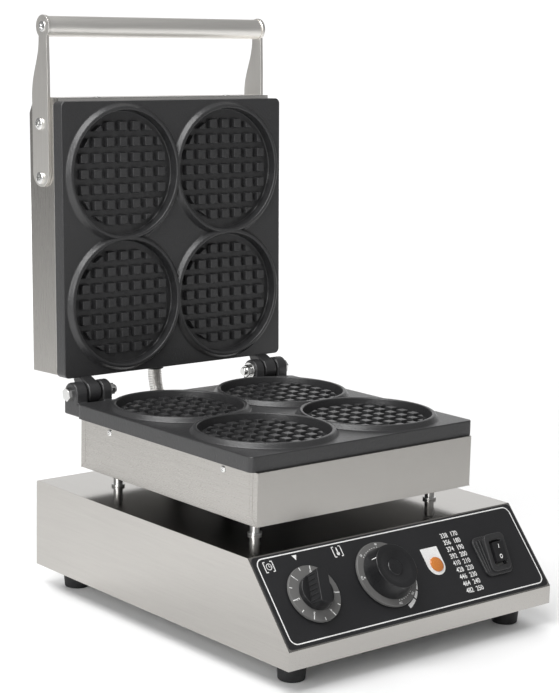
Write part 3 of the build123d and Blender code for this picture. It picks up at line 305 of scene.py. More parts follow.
made = [
    brushedSteel("baseSteel", "Y", (0.43, 0.416, 0.396), 0.12, 0.03),
    brushedSteel("shellSteel", "Y", rough=0.24),
    brushedSteel("lidSteel", "Z", rough=0.25),
    brushedSteel("armSteel", "Z", (0.78, 0.76, 0.725), 0.36),
    brushedSteel("tubeSteel", "X", (0.86, 0.84, 0.805), 0.36),
    # a lighter copy of the lid's steel: painted highlight on the lid shell's end walls, fold
    # lines and flange
    brightSteel("endSteel", (0.84, 0.825, 0.80), 0.44),
    # near-black steel for the lower shell's underside: painted shade for the dark gap above the
    # base
    brushedSteel("scorchedSteel", "X", (0.07, 0.065, 0.06), 0.40),
    brightSteel("postSteel", (0.90, 0.90, 0.89), 0.24),
    blackPlastic("bezelPlastic", (0.022, 0.022, 0.023), (0.040, 0.040, 0.041), 0.28),
    brushedSteel("plainSteel", "X", (0.50, 0.50, 0.49), 0.34),
    castCoat(),
    brightSteel("brightSteel"),
    brightSteel("hoseMetal", (0.72, 0.71, 0.69), 0.26),
    darkSteel(),
    panelPaint(),
    whitePrint(),
    orangeLens(),
    blackPlastic("knobPlastic", (0.007, 0.007, 0.008), (0.016, 0.016, 0.017), 0.22),
    # a grey copy of the knobs' black plastic: painted reflection, the sheen a glossy black skirt
    # shows
    blackPlastic("skirtPaintedSheen", (0.110, 0.109, 0.107), (0.155, 0.153, 0.150), 0.26),
    blackPlastic("glandPlastic", (0.010, 0.010, 0.011), (0.024, 0.024, 0.025), 0.46),
    blackPlastic("palePlastic", (0.42, 0.42, 0.40), (0.58, 0.58, 0.56), 0.44, 500.0),
    footRubber(),
]
finishes = {material.name: material for material in made}
print("finishes made:", len(finishes))


# Shared making
def newObject(name, data):
    fresh = bpy.data.objects.new(name, data)
    bpy.context.scene.collection.objects.link(fresh)
    return fresh


def workedOut(thing):
    # the mesh that a curve, a text or a modifier makes; the object itself is used up
    bpy.context.view_layer.update()
    seen = thing.evaluated_get(bpy.context.evaluated_depsgraph_get())
    shape = bpy.data.meshes.new_from_object(seen)
    bpy.data.objects.remove(thing)
    return shape


def soften(work, width, segments=2, smallestAngle=30.0, chosen=lambda edge: True):
    # rounds the edges that turn by more than the smallest angle
    edges = [
        edge
        for edge in work.edges
        if len(edge.link_faces) == 2
        and edge.calc_face_angle(0.0) > math.radians(smallestAngle)
        and chosen(edge)
    ]
    if edges:
        bmesh.ops.bevel(
            work, geom=edges, offset=width, segments=segments, profile=0.5, material=-1,
            affect="EDGES", clamp_overlap=True,
        )


def faceOutwards(work):
    bmesh.ops.recalc_face_normals(work, faces=work.faces)


def everything(work):
    return work.verts[:] + work.edges[:] + work.faces[:]


def openEdges(work):
    return [edge for edge in work.edges if edge.is_boundary]


def vertsOf(parts):
    return [part for part in parts if isinstance(part, bmesh.types.BMVert)]


def drawOut(work, faces, way):
    # extrudes the faces and gives back the new corners
    grown = bmesh.ops.extrude_face_region(work, geom=faces, use_keep_orig=True)["geom"]
    bmesh.ops.translate(work, vec=way, verts=vertsOf(grown))
    return vertsOf(grown)


def cutAway(work, point, normal, cap=False):
    # removes what lies on the side that the normal points to
    bmesh.ops.bisect_plane(
        work, geom=everything(work), dist=1e-4, plane_co=point, plane_no=normal, clear_outer=True
    )
    if cap and openEdges(work):
        bmesh.ops.holes_fill(work, edges=openEdges(work))


def cutRound(work, radius, steps, cap=False):
    # removes what lies further out than the radius, in flat steps
    for step in range(steps):
        turn = math.tau * step / steps
        ray = Vector((math.cos(turn), math.sin(turn), 0))
        cutAway(work, ray * radius, ray, cap)


def put(work, place):
    bmesh.ops.transform(work, matrix=place, verts=work.verts)
    return work


def turned(profile, steps):
    # a solid of revolution about z, from (radius, height) pairs
    work = bmesh.new()
    points = [work.verts.new((radius, 0, height)) for radius, height in profile]
    lines = [work.edges.new(pair) for pair in zip(points, points[1:])]
    bmesh.ops.spin(
        work, geom=points + lines, cent=(0, 0, 0), axis=(0, 0, 1), dvec=(0, 0, 0),
        angle=math.tau, steps=steps, use_merge=True,
    )
    bmesh.ops.remove_doubles(work, verts=work.verts, dist=1e-3)
    faceOutwards(work)
    return work


def domed(radius, rim, height, steps):
    # a low dome over an upright rim
    crown = []
    for step in range(7):
        turn = math.radians(15 * step)
        crown.append((radius * math.sin(turn), rim + (height - rim) * math.cos(turn)))
    return turned(crown + [(radius, 0.0), (0.0, 0.0)], steps)


def block(width, depth, height):
    work = bmesh.new()
    bmesh.ops.create_cube(work, size=1.0)
    bmesh.ops.scale(work, vec=(width, depth, height), verts=work.verts)
    return work


def rod(radius, length, segments, place=shifted(0, 0, 0)):
    # stands on its place along local z
    work = bmesh.new()
    bmesh.ops.create_cone(
        work, cap_ends=True, segments=segments, radius1=radius, radius2=radius, depth=length,
        matrix=shifted(0, 0, length / 2),
    )
    return put(work, place)


def halfRound(work, start, middle, axis, steps, others):
    # a half circle from a start point, closed by straight edges through the others
    first = work.verts.new(start)
    arc = bmesh.ops.spin(
        work, geom=[first], cent=middle, axis=axis, dvec=(0, 0, 0), angle=math.pi, steps=steps
    )
    chain = vertsOf(arc["geom_last"]) + [work.verts.new(spot) for spot in others] + [first]
    for pair in zip(chain, chain[1:]):
        work.edges.new(pair)
    return bmesh.ops.edgeloop_fill(work, edges=work.edges[:])["faces"]


def keepMesh(work, name):
    kept = bpy.data.meshes.new(name)
    work.to_mesh(kept)
    work.free()
    return kept


def join(work, other, place=shifted(0, 0, 0)):
    # adds another mesh, which is used up
    carrier = keepMesh(put(other, place), "carrier")
    work.from_mesh(carrier)
    bpy.data.meshes.remove(carrier)


def joinCopy(work, mesh, place):
    # adds a placed copy of a kept mesh
    other = bmesh.new()
    other.from_mesh(mesh)
    join(work, other, place)


def addPiece(work, name, body, finish, nodes=(), smoothAngle=38.0):
    bmesh.ops.scale(work, vec=(mm, mm, mm), verts=work.verts)
    mesh = keepMesh(work, name)
    mesh.shade_smooth()
    mesh.set_sharp_from_angle(angle=math.radians(smoothAngle))
    mesh.materials.append(finishes[finish])
    piece = newObject(name, mesh)
    weighting = piece.modifiers.new("evenNormals", "WEIGHTED_NORMAL")
    weighting.keep_sharp = True
    if body is not None:
        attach(piece, body)
    if nodes:
        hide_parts(*nodes)
    return piece


def camelName(node):
    first, *rest = node.split("_")
    return first + "".join(word.capitalize() for word in rest)


# Camera, light and floor
viewpoint = {
    "place": (-1.06883, -1.27578, 0.52796),
    "yaw": 40.17,
    "pitch": -10.12,
    "roll": 1.4,
    "lens": 98.49,
    "sensor": 36.0,
    "nearest": 0.05,
    "farthest": 60.0,
}


def setCamera():
    yaw, pitch, roll = (math.radians(viewpoint[key]) for key in ("yaw", "pitch", "roll"))
    level = math.cos(pitch)
    ahead = Vector((math.sin(yaw) * level, math.cos(yaw) * level, math.sin(pitch)))
    side = ahead.cross(upward).normalized()
    top = side.cross(ahead)
    rolledSide = side * math.cos(roll) + top * math.sin(roll)
    rolledTop = top * math.cos(roll) - side * math.sin(roll)
    data = bpy.data.cameras.new("viewpoint")
    data.lens = viewpoint["lens"]
    data.sensor_width = viewpoint["sensor"]
    data.clip_start = viewpoint["nearest"]
    data.clip_end = viewpoint["farthest"]
    camera = newObject("viewpoint", data)
    turn = Matrix((rolledSide, rolledTop, -ahead)).transposed().to_4x4()
    camera.matrix_world = Matrix.Translation(viewpoint["place"]) @ turn
    bpy.context.scene.camera = camera


studio = {
    "dimSky": 0.30,
    "brightSky": 1.08,
    "brightSide": (0.70, 0.93),  # cosines from the view's direction where it starts and is full
    "floorSize": 7.0,
    "floorTone": (0.86, 0.86, 0.86),
    # place, aim, width and height in metres, watts, whether the steel mirrors it
    "softboxes": {
        "keyBox": ((-2.2, -1.0, 1.05), (0.0, 0.0, 0.2), (1.3, 1.1), 27.0, True),
        "topBox": ((-0.55, -0.05, 1.25), (-0.25, -0.1, 0.0), (0.9, 0.9), 15.0, True),
        "backBox": ((2.4, 2.8, 2.4), (2.1, 2.5, 0.0), (3.4, 3.4), 170.0, False),
    },
}


def addSoftbox(name, spot, aim, size, watts, mirrored):
    data = bpy.data.lights.new(name, "AREA")
    data.shape = "RECTANGLE"
    data.size, data.size_y = size
    data.energy = watts
    lamp = newObject(name, data)
    lamp.location = spot
    lamp.visible_glossy = mirrored
    lamp.rotation_mode = "QUATERNION"
    lamp.rotation_quaternion = (Vector(aim) - Vector(spot)).to_track_quat("-Z", "Y")


def setSky():
    # a dim studio with one bright side, ahead of the photo's viewpoint
    sky = Finish("studio", bpy.data.worlds, "Generated")
    bpy.context.scene.world = sky.owner
    ahead = bpy.context.scene.camera.matrix_world.to_3x3() @ Vector((0, 0, -1))
    sides = {0: sky.place, 1: ahead}
    facing = sky.node("ShaderNodeVectorMath", {"operation": "DOT_PRODUCT"}, sides, "Value")
    start, full = studio["brightSide"]
    ranges = {"Value": facing, "From Min": start, "From Max": full}
    ranges.update({"To Min": studio["dimSky"], "To Max": studio["brightSky"]})
    strength = sky.node("ShaderNodeMapRange", {"interpolation_type": "SMOOTHSTEP"}, ranges)
    light = {"Color": (1, 1, 1, 1), "Strength": strength}
    surface = sky.node("ShaderNodeBackground", sockets=light)
    sky.node("ShaderNodeOutputWorld", sockets={"Surface": surface})


def addFloor():
    finish = Finish("floorPaint")
    tone = studio["floorTone"]
    colour = finish.tint(finish.grain(3.0, 3.0), tone, [part * 1.02 for part in tone])
    work = bmesh.new()
    bmesh.ops.create_grid(work, x_segments=1, y_segments=1, size=studio["floorSize"] / 2)
    floor = newObject("floor", keepMesh(work, "floor"))
    floor.data.materials.append(finish.finished(colour, 0.85))


setCamera()
for name, settings in studio["softboxes"].items():
    addSoftbox(name, *settings)
setSky()
addFloor()
bpy.context.scene.view_settings.view_transform = "Standard"
print("camera and studio set")


# Cast waffle plates
casting = {
    "width": 253.4,
    "depth": 250.6,
    "thickness": 13.2,
    "corner": 5.0,
    "edge": 1.2,
    "pitch": 119.0,
    "floorRadius": 56.8,
    "wallRadius": 57.6,
    "rimTopRadius": 60.6,
    "rimFootRadius": 63.7,
    "rimHeight": 4.8,
    "floorDepth": 4.6,
    "rimEdge": 1.1,
    "cavitySteps": 96,
    "beforeTrim": 100.0,  # how far a quarter reaches from its cavity at first
    "pegPitch": 14.3,
    "pegFoot": 9.4,
    "pegHead": 8.0,
    "pegHeight": 5.2,
    "pegSink": 0.1,
    "pegEdge": 1.1,
    "pegsPerRow": 7,
    "pegField": 50.5,
    "pegFieldSteps": 60,
    "smallestPeg": 7.0,
}


def makePegs():
    # squares clipped to the round field, then drawn up and tapered one by one
    work = bmesh.new()
    half = casting["pegsPerRow"] // 2
    foot = -casting["floorDepth"] - casting["pegSink"]
    rows = [row * casting["pegPitch"] for row in range(-half, half + 1)]
    for x in rows:
        for y in rows:
            bmesh.ops.create_grid(
                work, x_segments=1, y_segments=1, size=casting["pegFoot"] / 2,
                matrix=shifted(x, y, foot),
            )
    cutRound(work, casting["pegField"], casting["pegFieldSteps"])
    small = [face for face in work.faces if face.calc_area() < casting["smallestPeg"]]
    bmesh.ops.delete(work, geom=small, context="FACES")
    lift = Vector((0, 0, casting["pegHeight"] + casting["pegSink"]))
    narrow = casting["pegHead"] / casting["pegFoot"]
    for face in bmesh.ops.extrude_discrete_faces(work, faces=work.faces[:])["faces"]:
        around = Matrix.Translation(-face.calc_center_median())
        bmesh.ops.translate(work, vec=lift, verts=face.verts[:])
        bmesh.ops.scale(work, vec=(narrow, narrow, 1), space=around, verts=face.verts[:])
    faceOutwards(work)
    soften(work, casting["pegEdge"], 3, 25.0)
    return keepMesh(work, "pegs")


def makeSlab():
    # one quarter turned about its cavity and trimmed, then mirrored both ways
    profile = [
        (0.0, -casting["floorDepth"]),
        (casting["floorRadius"], -casting["floorDepth"]),
        (casting["wallRadius"], casting["rimHeight"]),
        (casting["rimTopRadius"], casting["rimHeight"]),
        (casting["rimFootRadius"], 0.0),
        (casting["beforeTrim"], 0.0),
    ]
    work = turned(profile, casting["cavitySteps"])
    for face in work.faces:
        if face.normal.z < -0.1:
            face.normal_flip()
    soften(work, casting["rimEdge"], 3, 25.0)
    put(work, shifted(casting["pitch"] / 2, casting["pitch"] / 2, 0))
    wide, deep = casting["width"] / 2, casting["depth"] / 2
    for normal, reach in (((-1, 0), 0), ((0, -1), 0), ((1, 0), wide), ((0, 1), deep)):
        outward = Vector((*normal, 0))
        cutAway(work, outward * reach, outward)
    cornerMiddle = Vector((wide - casting["corner"], deep - casting["corner"], 0))
    for degrees in range(15, 90, 15):
        turn = math.radians(degrees)
        ray = Vector((math.cos(turn), math.sin(turn), 0))
        cutAway(work, cornerMiddle + ray * casting["corner"], ray)
    still = Matrix.Identity(4)
    for axis in "XY":
        bmesh.ops.mirror(work, geom=everything(work), matrix=still, merge_dist=1e-3, axis=axis)
    bmesh.ops.remove_doubles(work, verts=work.verts, dist=1e-3)
    grown = bmesh.ops.extrude_edge_only(work, edges=openEdges(work))["geom"]
    bmesh.ops.translate(work, vec=(0, 0, -casting["thickness"]), verts=vertsOf(grown))
    bmesh.ops.edgeloop_fill(work, edges=openEdges(work))
    faceOutwards(work)

    def onOutline(edge):
        level = all(abs(vert.co.z) < 1e-3 for vert in edge.verts)
        return level and any(abs(face.normal.z) < 0.1 for face in edge.link_faces)

    soften(work, casting["edge"], 3, 60.0, onOutline)
    return keepMesh(work, "slab")


slabMesh = makeSlab()
pegMesh = makePegs()


def castPlate(place):
    work = bmesh.new()
    joinCopy(work, slabMesh, place)
    half = casting["pitch"] / 2
    for x in (-half, half):
        for y in (-half, half):
            joinCopy(work, pegMesh, place @ shifted(x, y, 0))
    return work


knuckles = {
    "radius": 10.5,
    "outerFace": 124.5,
    "outerWidth": 12.0,
    "innerWidth": 10.0,
    "slot": 17.0,
    "tongue": 13.4,
    "web": 4.0,
    "webOverlap": 2.0,
    "intoPlate": 1.0,
    "edge": 1.6,
}
slotStart = knuckles["outerFace"] - knuckles["outerWidth"]
slotMiddle = slotStart - knuckles["slot"] / 2


def makeEar(width):
    # a lug under the pin, rounded over it; local x is the pin's axis
    radius = knuckles["radius"]
    top = -places["plateFaceBelowPin"]
    bottom = top - casting["thickness"]
    top -= knuckles["intoPlate"]
    near = -places["plateBehindPin"] - knuckles["intoPlate"]
    low = [(-radius, top), (near, top), (near, bottom), (radius, bottom)]
    others = [(-width / 2, y, z) for y, z in low]
    work = bmesh.new()
    side = halfRound(work, (-width / 2, radius, 0), (-width / 2, 0, 0), (1, 0, 0), 20, others)
    drawOut(work, side, (width, 0, 0))
    faceOutwards(work)
    soften(work, knuckles["edge"], 3, 40.0)
    return work


def makeTongue():
    # the lid's knuckle: a disc on the pin, drawn out to the casting's edge
    width = knuckles["tongue"]
    work = rod(knuckles["radius"], width, 40, turnedY(90) @ shifted(0, 0, -width / 2))
    near = places["plateBehindPin"] + knuckles["intoPlate"]
    face = -places["lidFaceAbovePin"]
    for x in (-width / 2, width / 2):
        for z in (face - knuckles["intoPlate"], face - casting["thickness"]):
            work.verts.new((x, near, z))
    hull = bmesh.ops.convex_hull(work, input=work.verts[:])
    spare = [part for part in hull["geom_interior"] + hull["geom_unused"] if part.is_valid]
    bmesh.ops.delete(work, geom=vertsOf(spare), context="VERTS")
    bmesh.ops.dissolve_limit(
        work, angle_limit=math.radians(2.0), verts=work.verts[:], edges=work.edges[:]
    )
    faceOutwards(work)
    soften(work, knuckles["edge"], 3, 40.0)
    return work


def addLowerCasting():
    behind = places["plateBehindPin"]
    face = pinPoint.z - places["plateFaceBelowPin"]
    work = castPlate(shifted(0, pinPoint.y - behind - casting["depth"] / 2, face))
    ears = {
        knuckles["outerFace"] - knuckles["outerWidth"] / 2: knuckles["outerWidth"],
        slotStart - knuckles["slot"] - knuckles["innerWidth"] / 2: knuckles["innerWidth"],
    }
    shift = (knuckles["radius"] - behind) / 2
    low = -places["plateFaceBelowPin"] - casting["thickness"] + knuckles["web"] / 2
    webWidth = knuckles["slot"] + 2 * knuckles["webOverlap"]
    for side in (-1, 1):
        for x, width in ears.items():
            join(work, makeEar(width), Matrix.Translation(pinPoint + Vector((side * x, 0, 0))))
        web = block(webWidth, knuckles["radius"] + behind, knuckles["web"])
        spot = pinPoint + Vector((side * slotMiddle, shift, low))
        join(work, web, Matrix.Translation(spot))
    addPiece(work, "lowerCasting", "base", "castCoat", ["lower_plate"])


def addUpperCasting():
    plateMiddle = places["plateBehindPin"] + casting["depth"] / 2
    work = castPlate(lidPlace @ shifted(0, plateMiddle, -places["lidFaceAbovePin"]))
    for side in (-1, 1):
        join(work, makeTongue(), lidPlace @ shifted(side * slotMiddle, 0, 0))
    addPiece(work, "upperCasting", "lid", "castCoat", ["upper_plate"])


addLowerCasting()
addUpperCasting()
print("castings made")


# Sheet metal and small fittings that keep their solids' shapes: finish, width of the softened
# edge, and for the shells another finish low underneath (near-black painted shade) or on the
# narrow walls at the ends (lighter painted highlight)
dressed = {
    "base_housing": ("baseSteel", 0.25),
    "base_bottom_plate": ("plainSteel", 0.15),
    "lower_shell": ("shellSteel", 0.2, "scorchedSteel"),
    "upper_shell": ("lidSteel", 0.2, None, "endSteel"),
    "handle_arm_left": ("armSteel", 0.35),
    "handle_arm_right": ("armSteel", 0.35),
    "handle_tube": ("tubeSteel", 0.3),
    "control_panel": ("panelPaint", 0.15),
    "hinge_washers": ("brightSteel", 0.2),
    "wiring_tube": ("plainSteel", 0.2),
    "base_conduit_gland": ("glandPlastic", 0.5),
    "lid_conduit_gland": ("glandPlastic", 0.5),
    "mains_cable_gland": ("glandPlastic", 0.5),
    "switch_rocker": ("knobPlastic", 0.4),
}


def dressNode(node, finish, edge, underside=None, ends=None):
    source = frame["nodes"][node]
    work = bmesh.new()
    work.from_mesh(source.data)
    bmesh.ops.scale(work, vec=(1 / mm, 1 / mm, 1 / mm), verts=work.verts)
    bmesh.ops.remove_doubles(work, verts=work.verts, dist=0.002)
    bmesh.ops.dissolve_limit(
        work, angle_limit=math.radians(0.8), verts=work.verts[:], edges=work.edges[:]
    )
    soften(work, edge)
    piece = addPiece(work, camelName(node), source["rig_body"], finish, [node])
    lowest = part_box(node)[0].z + 3 * mm
    for other in filter(None, (underside, ends)):
        piece.data.materials.append(finishes[other])
    for face in piece.data.polygons:
        # faces low underneath take the near-black steel, painted shade; the end walls take the
        # lighter steel, a painted highlight
        if underside and face.normal.z < -0.9 and face.center.z < lowest:
            face.material_index = 1
        if ends and abs(face.normal.z) > 0.9:
            face.material_index = 1


for node, settings in dressed.items():
    dressNode(node, *settings)
print("sheet metal dressed")

# Solids that stay as they are, out of sight or nearly so
plain = {
    "brightSteel": (
        "post_nuts", "foot_screws", "handle_arm_nuts", "lower_clamp_screws", "upper_clamp_screws",
        "timer_shaft", "thermostat_shaft",
    ),
    "plainSteel": ("handle_plugs", "lower_element_clamps", "upper_element_clamps"),
    "darkSteel": ("lower_heating_element", "upper_heating_element", "thermostat_bulb"),
    "palePlastic": (
        "timer_body", "thermostat_body", "indicator_body", "switch_body", "terminal_block",
    ),
    "glandPlastic": ("base_gland_nuts", "lid_gland_nut"),
}
for finish, nodes in plain.items():
    for node in nodes:
        mesh = frame["nodes"][node].data
        mesh.materials.clear()
        mesh.materials.append(finishes[finish])


# Feet and posts
cornerNames = ("front_left", "front_right", "back_left", "back_right")
foot = {"bottom": 11.1, "top": 12.9, "height": 19.0, "edge": 1.4, "socket": 4.6, "depth": 9.0}
post = {
    "radius": 4.2,
    "collar": 6.0,
    "collarHeight": 2.0,
    "ring": 4.9,
    "ringAbove": 7.6,
    "ringHeight": 0.9,
    "stud": 2.5,
    "studLength": 9.0,
    "edge": 0.25,
}


def standUpright(work, node, finish):
    # about the middle of the solid that it takes the place of
    low, high = boxOf(node)
    middle = (low + high) / 2
    put(work, shifted(middle.x, middle.y, 0))
    addPiece(work, camelName(node), "base", finish, [node])


def addFoot(node):
    profile = [
        (0.0, foot["depth"]),
        (foot["socket"], foot["depth"]),
        (foot["socket"], 0.0),
        (foot["bottom"], 0.0),
        (foot["top"], foot["height"]),
        (0.0, foot["height"]),
    ]
    work = turned(profile, 56)
    middle = (foot["socket"] + foot["bottom"]) / 2  # only the edges further out are rounded
    soften(work, foot["edge"], 4, 30.0, lambda edge: edge.verts[0].co.xy.length > middle)
    standUpright(work, node, "footRubber")


def addPost(node):
    low, high = (corner.z for corner in boxOf(node))
    start = low + post["studLength"]
    head = high - post["studLength"]
    ring = start + post["ringAbove"]
    profile = [
        (0.0, low),
        (post["stud"], low),
        (post["stud"], start),
        (post["collar"], start),
        (post["collar"], start + post["collarHeight"]),
        (post["radius"], start + post["collarHeight"]),
        (post["radius"], ring),
        (post["ring"], ring),
        (post["ring"], ring + post["ringHeight"]),
        (post["radius"], ring + post["ringHeight"]),
        (post["radius"], head),
        (post["stud"], head),
        (post["stud"], high),
        (0.0, high),
    ]
    work = turned(profile, 48)
    soften(work, post["edge"])
    standUpright(work, node, "postSteel")


# Hinge bolts and their nuts
bolt = {"flats": 11.4, "head": 5.3, "shank": 4.0, "tip": 1.0, "edge": 0.5, "turn": 12}
bolt.update({"ringInside": 0.8, "ringHeight": 0.15})
nut = {"flats": 10.8, "height": 5.2, "edge": 0.7, "turn": 8, "washerTop": 83.9}


def hexagon(sizes, height):
    corner = sizes["flats"] / 2 / math.cos(math.radians(30))
    work = rod(corner, height, 6, turnedZ(sizes["turn"]))
    soften(work, sizes["edge"])
    return work


def addHingeBolt(name, side):
    node = "hinge_bolt_" + name
    ends = sorted((corner.x for corner in boxOf(node)), key=abs)
    outward = Vector((side, 0, 0))
    seat = placeAlong(Vector((ends[1], pinPoint.y, pinPoint.z)), rearward, outward)
    work = hexagon(bolt, bolt["head"])
    ringRadius = bolt["flats"] / 2 - bolt["ringInside"]
    join(work, rod(ringRadius, bolt["head"] + bolt["ringHeight"], 40))
    length = abs(ends[1] - ends[0]) - bolt["head"]
    shank = rod(bolt["shank"], length, 40, shifted(0, 0, -length))
    soften(shank, bolt["tip"], 3, 60.0)
    join(work, shank)
    # the raised ring ends where the solid does
    put(work, seat @ shifted(0, 0, -bolt["head"] - bolt["ringHeight"]))
    pieceName = "hingeBolt" + name.capitalize()
    addPiece(work, pieceName, "base", "brightSteel", [node])


def addHingeNuts():
    work = bmesh.new()
    for side in (-1, 1):
        face = Vector((side * nut["washerTop"], pinPoint.y, pinPoint.z))
        join(work, hexagon(nut, nut["height"]), placeAlong(face, rearward, -side * across))
    addPiece(work, "hingeNuts", "base", "brightSteel", ["hinge_nuts"])


for name in cornerNames:
    addFoot(name + "_foot")
for name in cornerNames:
    addPost(name + "_post")
addHingeBolt("left", -1)
addHingeBolt("right", 1)
addHingeNuts()
print("feet, posts and hinge bolts made")


# Folds of the shells: a closing flange at the cast plate, and the lines of the corner hems
lidSides = {
    "armOutside": 125.35,
    "shellSide": 122.35,
    "shellNear": 14.2,
    "shellFar": 266.6,
    "armScrews": (243.0, 194.0),
    "armScrewDepth": 42.65,
    "eyeAway": 330.0,
    "eyeDepth": 36.35,
    "sideScrewDepth": 24.05,
    "backScrewX": 75.0,
}
fold = {
    "hem": 6.5,
    "lineWidth": 0.9,
    "lineHeight": 0.25,
    "flange": 0.8,
    "flangeReach": 4.6,
    "flangeInside": 0.3,
    "side": 121.5,
}


def addFlange(work, y, z, place=shifted(0, 0, 0)):
    flange = block(2 * fold["side"], fold["flangeReach"], fold["flange"])
    join(work, flange, place @ shifted(0, y, z))


def addShellFolds():
    hem = fold["hem"]
    inside = fold["flangeReach"] / 2 + fold["flangeInside"]
    low, high = boxOf("lower_shell")
    length = high.z - low.z - hem
    work = bmesh.new()
    for side in (-1, 1):
        for end, inward in ((low.y, 1), (high.y, -1)):
            line = block(fold["lineHeight"], fold["lineWidth"], length)
            join(work, line, shifted(side * high.x, end + inward * hem, high.z - length / 2))
            corner = block(fold["lineHeight"], fold["lineWidth"], hem * math.sqrt(2))
            spot = shifted(side * high.x, end + inward * hem / 2, low.z + hem / 2)
            join(work, corner, spot @ turnedX(-45 * inward))
    addFlange(work, low.y + inside, high.z - fold["flange"] / 2)
    addPiece(work, "lowerShellFolds", "base", "shellSteel")
    length = lidSides["shellFar"] - lidSides["shellNear"]
    middle = lidSides["shellNear"] + length / 2
    near = places["lidFaceAbovePin"] + casting["thickness"]
    work = bmesh.new()
    for side in (-1, 1):
        line = block(fold["lineHeight"], length - 2 * hem, fold["lineWidth"])
        join(work, line, lidPlace @ shifted(side * lidSides["shellSide"], middle, -near - hem))
    addFlange(work, lidSides["shellFar"] - inside, -near - fold["flange"] / 2, lidPlace)
    # the lid's fold lines and flange take the lighter steel, a painted highlight
    addPiece(work, "upperShellFolds", "lid", "endSteel")


# Screws with cross recesses: radius and height of the head, radius and length of the shank
screws = {
    "handle_arm_screws": (5.5, 3.0, 2.5, 10.0),
    "handle_end_screws": (4.8, 1.3, 2.5, 13.0),
    "lower_shell_screws": (3.0, 0.9, 2.0, 9.0),
    "upper_shell_screws": (3.3, 0.7, 2.0, 9.0),
    "bottom_plate_screws": (3.8, 2.6, 2.0, 8.0),
}
recess = {"rim": 0.42, "length": 1.15, "width": 0.34, "depth": 0.55}  # shares of the head
recessTurns = {"first": 25, "step": 40}  # degrees, so that no two screws stand alike
screwSpots = {
    "lowerShellInset": 45.0,
    "lowerShellBelowTop": 5.5,
    # across from the middle, and along from the front or the back of the base
    "frontUnder": ((131.0, 8.0),),
    "backUnder": ((131.0, 8.0), (142.0, 27.0)),
}


def crossHead(radius, height):
    # cut once and placed as copies
    head = domed(radius, height * recess["rim"], height, 40)
    long, narrow = radius * recess["length"], radius * recess["width"]
    cross = block(long, narrow, height)
    join(cross, block(narrow, long, height))
    put(cross, shifted(0, 0, height * (1.5 - recess["depth"])))
    headPiece = newObject("headShape", keepMesh(head, "headShape"))
    crossPiece = newObject("crossShape", keepMesh(cross, "crossShape"))
    cut = headPiece.modifiers.new("recess", "BOOLEAN")
    cut.operation = "DIFFERENCE"
    cut.solver = "EXACT"
    cut.use_self = True
    cut.object = crossPiece
    shape = workedOut(headPiece)
    bpy.data.objects.remove(crossPiece)
    return shape


def addScrews(node, body, spots):
    # each spot is a place with z out of the head
    radius, height, shank, length = screws[node]
    shape = crossHead(radius, height)
    work = bmesh.new()
    for number, place in enumerate(spots):
        turn = turnedZ(recessTurns["first"] + recessTurns["step"] * number)
        joinCopy(work, shape, place @ turn)
        join(work, rod(shank, length, 20, place @ shifted(0, 0, -length)))
    addPiece(work, camelName(node), body, "brightSteel", [node])


def onLidSide(side, away, depth):
    point = lidPlace @ Vector((side * lidSides["armOutside"], away, -depth))
    return placeAlong(point, lidPlace.col[1].xyz, side * across)


def lidScrewSpots():
    arms, ends, backs = [], [], []
    for side in (-1, 1):
        for away in lidSides["armScrews"]:
            arms.append(onLidSide(side, away, lidSides["armScrewDepth"]))
        ends.append(onLidSide(side, lidSides["eyeAway"], lidSides["eyeDepth"]))
        for away, sense in ((lidSides["shellNear"], -1), (lidSides["shellFar"], 1)):
            spot = Vector((side * lidSides["backScrewX"], away, -lidSides["sideScrewDepth"]))
            backs.append(placeAlong(lidPlace @ spot, across, lidPlace.col[1].xyz * sense))
    return arms, ends, backs


def baseScrewSpots():
    low, high = boxOf("lower_shell")
    height = high.z - screwSpots["lowerShellBelowTop"]
    reach = (high.y - low.y) / 2 - screwSpots["lowerShellInset"]
    sides = [
        placeAlong(Vector((side * high.x, y, height)), rearward, side * across)
        for side in (-1, 1)
        for y in ((low.y + high.y) / 2 - reach, (low.y + high.y) / 2 + reach)
    ]
    low, high = boxOf("base_housing")
    points = [(x, low.y + inset) for x, inset in screwSpots["frontUnder"]]
    points += [(x, high.y - inset) for x, inset in screwSpots["backUnder"]]
    unders = [
        placeAlong(Vector((side * x, y, low.z)), across, -upward)
        for side in (-1, 1)
        for x, y in points
    ]
    return sides, unders


addShellFolds()
arms, ends, backs = lidScrewSpots()
sides, unders = baseScrewSpots()
addScrews("handle_arm_screws", "lid", arms)
addScrews("handle_end_screws", "lid", ends)
addScrews("lower_shell_screws", "base", sides)
addScrews("upper_shell_screws", "lid", backs)
addScrews("bottom_plate_screws", "base", unders)
print("folds and screws made")


# Knobs
timer = {
    "x": -104.0,
    "up": 41.0,
    "foot": 0.8,
    "skirt": 24.9,
    "skirtTop": 3.4,
    "skirtRing": 0.8,  # a ring of edges on the skirt, outside the hub
    "skirtSteps": 72,
    "hubSteps": 60,
    "gripSteps": 36,
    "hub": 15.2,
    "hubTop": 8.4,
    "hubEdge": 0.6,
    "gripTop": 18.4,
    "gripSink": 4.0,
    "gripInsideHub": 0.15,
    "gripFootWidth": 19.0,
    "gripTopWidth": 10.5,
    "gripEdge": 0.45,
    "turn": -18.0,
    "ribs": 6,
    "ribPitch": 4.4,
    "ribWidth": 0.8,
    "ribDepth": 0.9,
    "ribLonger": 1.0,
    "ribOut": 0.2,
    "firstMark": 15.2,
    "markStep": 27.57,
    "marks": 11,
    "longMark": (22.4, 0.8, 3.6),  # radius, width, length
    "shortMark": (22.7, 0.75, 2.7),
    "numbers": (18.6, 4.4),  # radius, size
}
